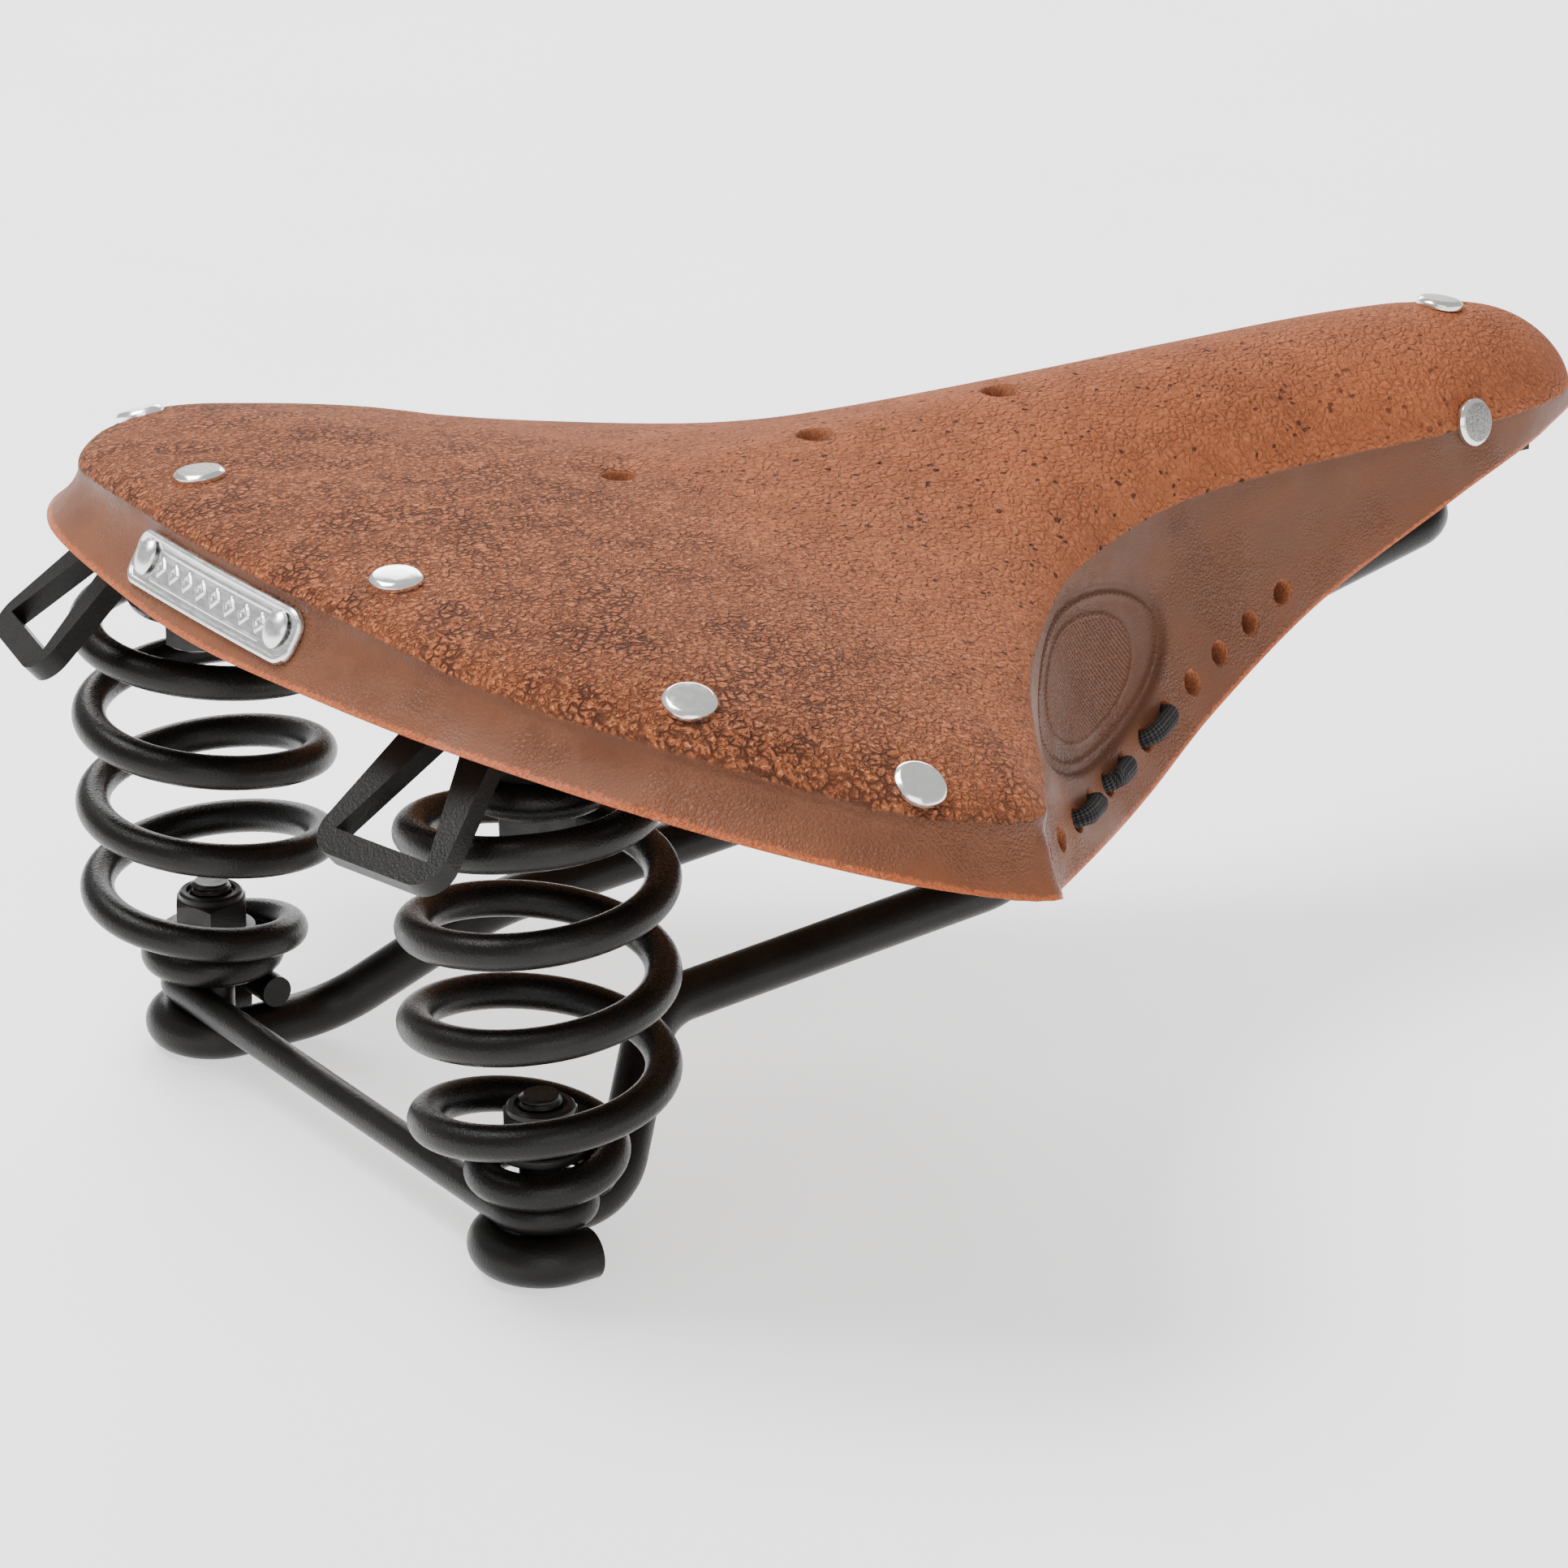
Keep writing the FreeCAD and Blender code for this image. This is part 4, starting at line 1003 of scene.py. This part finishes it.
WASHER_Z = LOWER_EYE_Z + WIRE_RADIUS + 0.1
LOCK_NUT_Z = WASHER_Z + 1.35
UPPER_NUT_Z = UPPER_EYE_Z - WIRE_RADIUS - 5.1
STAY_RADIUS, RAIL_RADIUS = 2.3, 3.5
STAY_Z = LOWER_EYE_Z - WIRE_RADIUS - 0.1 - STAY_RADIUS
RAIL_EYE_Z = STAY_Z - STAY_RADIUS - 0.1 - RAIL_RADIUS
WEB_TOP = 58.6


def upright(x, y, z=0.0):
    return Matrix.Translation((x, y, z))


def make_spring_hardware(side, word, oxide, nylon):
    """Bolts, nuts and washer at both ends of one spring."""
    y = side * SPRING_Y
    washer = [still(NUT_BORE, 0.2), still(NUT_BORE + 0.2, 0.0), still(6.3, 0.0), still(6.48, 0.2),
              still(6.48, 1.1), still(6.3, 1.3), still(NUT_BORE + 0.2, 1.3), still(NUT_BORE, 1.1)]
    piece = lathe(f"spring_washer_{word}_ring", washer, upright(SPRING_X, y, WASHER_Z), [oxide], 72, True)
    settle(piece, f"spring_washer_{word}", BODY_FRAME)
    make_nut(f"lock_nut_{word}", upright(SPRING_X, y, LOCK_NUT_Z), 4.5, oxide, BODY_FRAME, nylon)
    make_nut(f"upper_nut_{word}", upright(SPRING_X, y, UPPER_NUT_Z), 5.0, oxide, BODY_TOP)
    bottom = RAIL_EYE_Z - RAIL_RADIUS - 0.3
    head = [(5.3, bottom), (5.6, bottom + 0.12), (3.0, bottom + 2.1), (3.0, WASHER_Z - 1)]
    bolt_end = LOCK_NUT_Z + 7.0
    make_bolt(f"lower_bolt_{word}", upright(SPRING_X, y), head, WASHER_Z - 0.5, bolt_end, oxide, BODY_FRAME)
    turned_over = upright(SPRING_X, y) @ Matrix.Rotation(pi, 4, "X")
    top = -(WEB_TOP + 0.1)
    rings = [still(4.4, top - 3.5), still(CHAMFER_RADIUS - 0.2, top - 3.5), hex_ring(top - 3.5, 1),
             hex_ring(top, 0), still(3.0, top), still(3.0, -48.0)]
    rings += [thread_ring(z, 1.2 - UPPER_NUT_Z, 2.98) for z in steps(-47.5, 1.2 - UPPER_NUT_Z, 84)]
    piece = lathe(f"upper_bolt_{word}_threaded", rings, turned_over, [oxide], 72)
    settle(piece, f"upper_bolt_{word}", BODY_TOP)


# ---------------------------------------------------------------- rails and stay
def rounded_points(points, radii, spacing=1.2):
    """Points along straight runs joined by tangent arcs; radii belongs to the inner corners."""
    path = [points[0]]

    def run_to(end):
        start = path[-1]
        count = max(int((end - start).length / spacing), 1)
        path.extend(start.lerp(end, k / count) for k in range(1, count + 1))

    for before, corner, after, radius in zip(points, points[1:], points[2:], radii):
        to_back = (before - corner).normalized()
        to_front = (after - corner).normalized()
        half_turn = (pi - to_back.angle(to_front)) / 2
        reach = radius * sin(half_turn) / cos(half_turn)
        start = corner + to_back * reach
        end = corner + to_front * reach
        if (start - path[-1]).length > 0.05:
            run_to(start)
        inward = (to_back + to_front).normalized()
        centre = corner + inward * (radius / cos(half_turn))
        first = start - centre
        forward = -to_back * radius
        count = max(int(radius * 2 * half_turn / (spacing * 0.6)), 8)
        for k in range(1, count + 1):
            angle = 2 * half_turn * k / count
            path.append(centre + first * cos(angle) + forward * sin(angle))
    run_to(points[-1])
    return path


RAIL_TILT = 4.8 * pi / 180
CLAMP_REAR_X, CLAMP_FRONT_X = -30.0, 32.0
PIVOT = Vector((120.0, 0.0, 39.5))


RAIL_FREE_END = {1: 8.0, -1: 3.5}


def rail_half(side):
    """Corners and bend radii of one rail, from its free end to the nose bar."""
    hook = 3.2 + RAIL_RADIUS
    slope = sin(RAIL_TILT) / cos(RAIL_TILT)
    outer_y, inner_y = side * (SPRING_Y + hook), side * (SPRING_Y - hook)
    points = [
        (SPRING_X + RAIL_FREE_END[side], outer_y, RAIL_EYE_Z), (SPRING_X - hook, outer_y, RAIL_EYE_Z),
        (SPRING_X - hook, inner_y, RAIL_EYE_Z), (SPRING_X + 16, inner_y, RAIL_EYE_Z),
        (CLAMP_REAR_X, side * 22, CLAMP_REAR_X * slope), (CLAMP_FRONT_X, side * 22, CLAMP_FRONT_X * slope),
        (70, side * 13, 28.5), (PIVOT.x, side * 12.5, PIVOT.z),
    ]
    return [Vector(p) for p in points], [hook, hook, 12, 12, 20, 40, 5.4]


def make_rails(material):
    right, right_radii = rail_half(-1)
    left, left_radii = rail_half(1)
    path = rounded_points(right + left[::-1], right_radii + left_radii[::-1])
    rails = tube("rails", path, RAIL_RADIUS, material, around=32, dome=0.0, hint=Vector((0, 0, 1)))
    settle(rails, "rail_frame", BODY_FRAME, 0.6)


def make_stay(material):
    hook = 3.2 + STAY_RADIUS
    rear_x, front_x, reach = SPRING_X - hook, SPRING_X + hook, SPRING_Y + hook
    right = [Vector((front_x, 9 - SPRING_Y, STAY_Z)), Vector((front_x, -reach, STAY_Z)),
             Vector((rear_x, -reach, STAY_Z))]
    left = [flipped(p, -1) for p in reversed(right)]
    path = rounded_points(right + left, [hook] * 4)
    stay = tube("stay", path, STAY_RADIUS, material, around=28, dome=0.0, hint=Vector((0, 0, 1)))
    settle(stay, "cross_stay", BODY_FRAME, 0.6)


# ---------------------------------------------------------------- badge
BADGE_HALF_LENGTH, BADGE_HALF_HEIGHT, BADGE_CORNER = 21.5, 4.0, 2.6
BADGE_NORMAL = surface_normal(0, 1.5)
BADGE_MIDDLE = leather_point(0, 1.5)
BADGE_UP = Vector((0, 1, 0)).cross(BADGE_NORMAL)


def apron_place(across, up):
    """Station and level of the apron point at a place on the badge's flat drawing, across >= 0."""
    u, v = across / 26.0, 1.5 - up / 10.0
    for _ in range(5):
        point = leather_point(u, v) - BADGE_MIDDLE
        miss_a, miss_b = point.y - across, point.dot(BADGE_UP) - up
        step_u = leather_point(u + 0.01, v) - BADGE_MIDDLE
        step_v = leather_point(u, v + 0.01) - BADGE_MIDDLE
        a, b = (step_u.y - point.y) * 100, (step_v.y - point.y) * 100
        c = (step_u.dot(BADGE_UP) - point.dot(BADGE_UP)) * 100
        d = (step_v.dot(BADGE_UP) - point.dot(BADGE_UP)) * 100
        scale = a * d - b * c
        u = max(u - (d * miss_a - b * miss_b) / scale, 0.0)
        v -= (a * miss_b - c * miss_a) / scale
    return u, v


def badge_relief(across, up):
    """Height of the pressed face: a raised rim, a row of lozenges and two fine ribs."""
    long_way = BADGE_HALF_LENGTH - abs(across)
    short_way = BADGE_HALF_HEIGHT - abs(up)
    if long_way < BADGE_CORNER and short_way < BADGE_CORNER:
        border = BADGE_CORNER - hypot(BADGE_CORNER - long_way, BADGE_CORNER - short_way)
    else:
        border = min(long_way, short_way)
    height = 0.75 + 0.38 * smooth(0.0, 0.35, border) - 0.34 * smooth(0.75, 1.05, border)
    if abs(across) < 15.2:
        lozenge = abs((across % 3.8) - 1.9) / 1.55 + abs(up) / 1.75
        height += 0.30 * (1 - smooth(0.72, 1.0, lozenge)) - 0.16 * (1 - smooth(0.25, 0.5, lozenge))
        height += 0.14 * exp(-((abs(up) - 2.25) / 0.16) ** 2) * (1 - smooth(14.4, 15.2, abs(across)))
    return height


def make_badge(material):
    """Pressed plate that hugs the apron, with a rim and a generic lozenge row in relief."""
    rows, columns = 66, 300
    places = []
    for i in range(rows + 1):
        share = 0.25 * (1 - cos(pi * i / rows)) + 0.5 * i / rows
        up = -BADGE_HALF_HEIGHT + 2 * BADGE_HALF_HEIGHT * share
        inset = max(abs(up) - (BADGE_HALF_HEIGHT - BADGE_CORNER), 0.0)
        half = BADGE_HALF_LENGTH - BADGE_CORNER + sqrt(max(BADGE_CORNER ** 2 - inset ** 2, 0.0))
        places.append([(half * (2 * j / columns - 1), up) for j in range(columns + 1)])
    coarse = {}
    for ups in range(9):
        for k in range(31):
            up = -BADGE_HALF_HEIGHT + ups
            across = 22.5 * k / 30
            u, v = apron_place(across, up)
            coarse[(k, ups)] = (leather_point(u, v), surface_normal(u, v))

    def apron(across, up):
        a = min(abs(across) / 0.75, 29.999)
        b = min(up + BADGE_HALF_HEIGHT, 7.999)
        i, j = int(a), int(b)
        f, g = a - i, b - j
        point = (coarse[(i, j)][0].lerp(coarse[(i + 1, j)][0], f)
                 .lerp(coarse[(i, j + 1)][0].lerp(coarse[(i + 1, j + 1)][0], f), g))
        normal = coarse[(i, j)][1].lerp(coarse[(i + 1, j)][1], f)
        side = 1 if across >= 0 else -1
        return flipped(point, side), flipped(normal, side).normalized()

    vertices = []
    for row in places:
        for across, up in row:
            point, normal = apron(across, up)
            vertices.append(point + normal * (0.1 + badge_relief(across, up)))
    faces = grid_faces(rows + 1, columns + 1)
    base = len(vertices)
    for row in places:
        for across, up in row:
            point, normal = apron(across, up)
            vertices.append(point + normal * 0.12)
    faces += [face[::-1] for face in grid_faces(rows + 1, columns + 1, base)]
    width = columns + 1
    ring = list(range(width)) + [i * width + columns for i in range(1, rows + 1)]
    ring += [rows * width + j for j in range(columns - 1, -1, -1)]
    ring += [i * width for i in range(rows - 1, 0, -1)]
    faces += [(a, b, b + base, a + base) for a, b in zip(ring, ring[1:] + ring[:1])]
    badge = mesh_object("badge", vertices, faces, [material])
    fix_normals(badge)
    settle(badge, "badge_plate", BODY_TOP, 0.9)


def make_badge_rivets(material):
    for side, word in ((1, "left"), (-1, "right")):
        u, v = apron_place(BADGE_HALF_LENGTH - 4.0, 0.0)
        normal = surface_normal(u, 1.5)
        point = leather_point(u, 1.5) + normal * 1.4
        oval = Matrix.Diagonal((1.13, 0.94, 1, 1))
        matrix = aim(flipped(point, side), flipped(normal, side), BADGE_UP) @ oval
        profile = [(0, 1.15), (0.6, 1.12), (1.2, 0.98), (1.7, 0.74), (2.1, 0.42), (2.32, 0.12), (2.36, -0.02),
                   (2.3, -0.1), (1.2, -0.12), (1.15, -4.0), (0, -4.1)]
        piece = revolve(f"badge_stud_{word}", profile, matrix, [material])
        settle(piece, f"badge_rivet_{word}", BODY_TOP, 0.9)


# ---------------------------------------------------------------- nose: shackle, pin and nut
SLOT_RADIUS, STRAP, STRAP_WIDTH, STRAP_HEIGHT = 3.55, 4.0, 14.0, 16.0
PIN_Z = PIVOT.z + 10.0
ALONG_X = Matrix.Rotation(pi / 2, 4, "Y")


def cut_with(piece, cutters):
    """Bores the cutters out of a piece and removes them."""
    tool = join(cutters)
    cut = piece.modifiers.new("bores", "BOOLEAN")
    cut.object = tool
    cut.operation = "DIFFERENCE"
    cut.solver = "EXACT"
    cut.material_mode = "INDEX"
    bpy.context.view_layer.update()
    evaluated = piece.evaluated_get(bpy.context.evaluated_depsgraph_get())
    mesh = bpy.data.meshes.new_from_object(evaluated)
    piece.modifiers.clear()
    piece.data = mesh
    bpy.data.objects.remove(tool, do_unlink=True)


def make_shackle(material):
    """Polished strap bent into a U under the nose bar."""
    middle = SLOT_RADIUS + STRAP / 2
    path = [(-middle, z, -1.0, 0.0) for z in steps(STRAP_HEIGHT, 0.0, 12)]
    for angle in steps(0, pi, 40)[1:]:
        path.append((-middle * cos(angle), -middle * sin(angle), -cos(angle), -sin(angle)))
    path += [(middle, z, 1.0, 0.0) for z in steps(0.0, STRAP_HEIGHT, 12)[1:]]
    corner = 1.1
    section = []
    for sx, sy, start in ((1, 1, 0), (-1, 1, 1), (-1, -1, 2), (1, -1, 3)):
        for k in range(7):
            angle = (start + k / 6) * pi / 2
            section.append((sx * (STRAP / 2 - corner) + corner * cos(angle),
                            sy * (STRAP_WIDTH / 2 - corner) + corner * sin(angle)))
    vertices = []
    count = len(section)
    for x, z, nx, nz in path:
        for across, along in section:
            vertices.append(PIVOT + Vector((x + nx * across, along, z + nz * across)))
    faces = grid_faces(len(path), count, 0, True)
    faces.append(tuple(range(count - 1, -1, -1)))
    faces.append(tuple(range((len(path) - 1) * count, len(path) * count)))
    shackle = mesh_object("shackle", vertices, faces, [material])
    fix_normals(shackle)
    bore = revolve("shackle_cutter", [(0, -12), (3.08, -12), (3.08, 12), (0, 12)],
                   Matrix.Translation((PIVOT.x, 0, PIN_Z)) @ ALONG_X, [material], around=40)
    cut_with(shackle, [bore])
    settle(shackle, "tension_shackle", BODY_TOP, 0.6)


def make_pin(material):
    rear = PIVOT.x - SLOT_RADIUS - STRAP - 7.3
    head = [(3.6, rear), (4.3, rear + 0.3), (4.48, rear + 0.8),
            (4.48, rear + 2.6), (4.3, rear + 2.98), (2.98, rear + 3.0),
            (2.98, rear + 6.0)]
    matrix = Matrix.Translation((0, 0, PIN_Z)) @ ALONG_X
    make_bolt("tension_pin", matrix, head, rear + 6.5, 141.4, material, BODY_NOSE)


# ---------------------------------------------------------------- lace
LACE = 1.3
FIRST_LACED = 4


def lace_point(hole, side, outside):
    centre, normal = HOLES[hole]
    lift = LACE + 0.35 if outside else -(LEATHER + LACE + 0.6)
    return flipped(centre + normal * lift, side)


def make_lace(material):
    """One lace: three stitches outside each flap, crossing inside, tied behind in a knot."""
    a, b, c, d, e, f = range(FIRST_LACED, FIRST_LACED + 6)

    def stitch(first, second, side):
        return [(lace_point(first, side, False), 2.4), (lace_point(first, side, True), 2.4),
                (lace_point(second, side, True), 2.4), (lace_point(second, side, False), 2.4)]

    def crossing(first, second, lift):
        middle = (lace_point(first, 1, False) + lace_point(second, -1, False)) * 0.5
        return [(Vector((middle.x, 0, middle.z + lift)), 30.0)]

    knot = lace_point(f, 1, False) + Vector((-6, 0, -2))
    ends = [Vector((knot.x, side * 2.0, knot.z)) for side in (1, -1)]
    run = [(ends[0], 0)] + stitch(f, e, 1) + crossing(e, d, 1.8) + stitch(d, c, -1) + crossing(c, b, 1.8)
    run += stitch(b, a, 1) + stitch(a, b, -1) + crossing(b, c, -1.8) + stitch(c, d, 1)
    run += crossing(d, e, -1.8) + stitch(e, f, -1) + [(ends[1], 0)]
    path = rounded_points([point for point, _ in run], [bend for _, bend in run[1:-1]], 0.6)
    middles = [(flipped(HOLES[h][0].lerp(HOLES[h + 1][0], 0.5), s), flipped(HOLES[h][1], s))
               for h in (a, c, e) for s in (1, -1)]
    strand = swept_lace("lace_strand", path, middles, material)
    turns = []
    for t in steps(0, 2 * pi, 120):
        turns.append(Vector((knot.x, 0, knot.z)) + Vector((cos(t) - 2 * cos(2 * t), sin(t) + 2 * sin(2 * t),
                                                          -sin(3 * t) * 1.2)) * 0.78)
    knot_piece = tube("lace_knot", turns, 1.15, material, around=20)
    knot_piece.parent = strand
    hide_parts("skirt_lace")
    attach(strand, BODY_TOP)


def swept_lace(name, path, middles, material):
    """Braid that is flat and wide over the leather, and pinched where it dives into a hole."""
    around = 22
    count = len(path)
    vertices, along, around_at = [], [], []
    travelled = 0.0
    normal = Vector((0, 0, 1))
    for i, centre in enumerate(path):
        tangent = (path[min(i + 1, count - 1)] - path[max(i - 1, 0)]).normalized()
        if i:
            travelled += (centre - path[i - 1]).length
        middle, face = min(middles, key=lambda m: (m[0] - centre).length)
        near = 1 - smooth(2.2, 4.4, (middle + face * 1.6 - centre).length)
        wanted = face if near > 0 else normal
        normal = (normal.lerp(wanted, 0.5) if near > 0 else normal)
        normal = (normal - tangent * normal.dot(tangent)).normalized()
        side = tangent.cross(normal)
        thick = LACE * (0.9 - 0.12 * near)
        wide = LACE * 0.9 + 0.35 * near
        sag = -0.15 * near
        for k in range(around):
            angle = 2 * pi * k / around
            vertices.append(centre + normal * (cos(angle) * thick + sag) + side * (sin(angle) * wide))
            along.append(travelled)
            around_at.append(angle * LACE)
    faces = grid_faces(count, around, 0, True)
    faces.append(tuple(range(around - 1, -1, -1)))
    faces.append(tuple(range((count - 1) * around, count * around)))
    piece = mesh_object(name, vertices, faces, [material])
    give(piece, "along", along)
    give(piece, "around", around_at)
    fix_normals(piece)
    return piece


# ---------------------------------------------------------------- build everything
black = powder_coat("powder_coat")
spring_black = powder_coat("powder_coat_springs", 0.04)
oxide = black_oxide()
nylon = nylon_collar()
nickel = bright_metal("nickel_bright", (0.95, 0.945, 0.93), (0.99, 0.985, 0.97), 0.14, 0.24)
sanded = sanded_rivet()
badge_silver = bright_metal("badge_silver", (0.74, 0.74, 0.735), (0.88, 0.88, 0.87), 0.22, 0.34,
                            1400.0, (1, 0.25, 1))
chrome = bright_metal("chrome_polished", (0.88, 0.89, 0.90), (0.93, 0.94, 0.95), 0.05, 0.09, 500.0)
braid = woven_lace()
raw = raw_edge()

leather = make_leather(outer_leather(), flesh_leather(), raw)
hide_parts("leather_top")
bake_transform(leather)

for number, rivet_place in enumerate(REAR_RIVETS, start=1):
    for rivet_side, rivet_word in ((1, "left"), (-1, "right")):
        dull = number == 1 and rivet_side == 1
        finish = sanded if dull else nickel
        make_rivet(f"rear_rivet_{number}_{rivet_word}", rivet_place, rivet_side, BODY_TOP, finish)
make_rivet("nose_rivet_left", NOSE_SIDE_RIVET, 1, BODY_NOSE, sanded)
make_rivet("nose_rivet_right", NOSE_SIDE_RIVET, -1, BODY_NOSE, sanded)
make_rivet("nose_rivet_top", NOSE_TOP_RIVET, 1, BODY_NOSE, sanded)

make_rails(black)
make_stay(black)
for spring_side, spring_word in ((1, "left"), (-1, "right")):
    make_spring(spring_side, spring_word, spring_black)
    make_spring_hardware(spring_side, spring_word, oxide, nylon)
make_badge(badge_silver)
make_badge_rivets(badge_silver)
make_shackle(chrome)
make_pin(chrome)
make_nut("tension_nut", Matrix.Translation((PIVOT.x + SLOT_RADIUS + STRAP + 0.15, 0, PIN_Z)) @ ALONG_X, 5.0,
         chrome, BODY_NUT)
make_lace(braid)

for node in ("cantle_plate", "nose_plate"):
    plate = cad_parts[node]
    for index in range(max(len(plate.material_slots), 1)):
        if not plate.material_slots:
            plate.data.materials.append(black)
        plate.material_slots[index].material = black

# ---------------------------------------------------------------- floor, light and camera
FLOOR_Z = cad_box[0][2]
floor_mesh = bpy.data.meshes.new("floor")
floor_corners = [(-4, -4, FLOOR_Z), (4, -4, FLOOR_Z), (4, 4, FLOOR_Z), (-4, 4, FLOOR_Z)]
floor_mesh.from_pydata(floor_corners, [], [(0, 1, 2, 3)])
floor_mesh.materials.append(floor_material())
floor_piece = bpy.data.objects.new("floor", floor_mesh)
bpy.context.scene.collection.objects.link(floor_piece)

world = bpy.data.worlds.new("studio")
world.use_nodes = True
world.node_tree.nodes["Background"].inputs["Color"].default_value = (1.0, 1.0, 1.0, 1.0)
world.node_tree.nodes["Background"].inputs["Strength"].default_value = 0.62
bpy.context.scene.world = world


def soft_light(name, place, power, width, height):
    """Rectangular studio light aimed at the saddle."""
    data = bpy.data.lights.new(name, "AREA")
    data.shape = "RECTANGLE"
    data.size, data.size_y = width, height
    data.energy = power
    light = bpy.data.objects.new(name, data)
    light.location = place
    light.rotation_euler = (Vector((0.03, 0, 0.04)) - light.location).to_track_quat("-Z", "Y").to_euler()
    bpy.context.scene.collection.objects.link(light)


soft_light("key_light", Vector((-0.35, 0.35, 1.15)), 24.0, 0.8, 0.6)
soft_light("side_light", Vector((-0.5, -1.1, 0.45)), 5.0, 0.9, 0.6)
soft_light("back_panel", Vector((1.0, 1.35, 0.72)), 22.0, 1.4, 0.7)

CAMERA_PLACE = Vector((-0.41970, -0.61799, 0.30945))
CAMERA_AIM = Vector((0.52941, 0.76620, -0.36423))
CAMERA_ROLL = 0.2336 * pi / 180
camera_data = bpy.data.cameras.new("photo_camera")
camera_data.lens = 127.63
camera_data.sensor_width = 36.0
camera_data.clip_start = 0.01
camera_data.clip_end = 30.0
camera = bpy.data.objects.new("photo_camera", camera_data)
flat_right = CAMERA_AIM.cross(Vector((0, 0, 1))).normalized()
flat_up = flat_right.cross(CAMERA_AIM).normalized()
right_way = flat_right * cos(CAMERA_ROLL) + flat_up * sin(CAMERA_ROLL)
up_way = flat_up * cos(CAMERA_ROLL) - flat_right * sin(CAMERA_ROLL)
view_matrix = Matrix((right_way, up_way, -CAMERA_AIM.normalized())).transposed().to_4x4()
view_matrix.translation = CAMERA_PLACE
camera.matrix_world = view_matrix
bpy.context.scene.collection.objects.link(camera)
bpy.context.scene.camera = camera
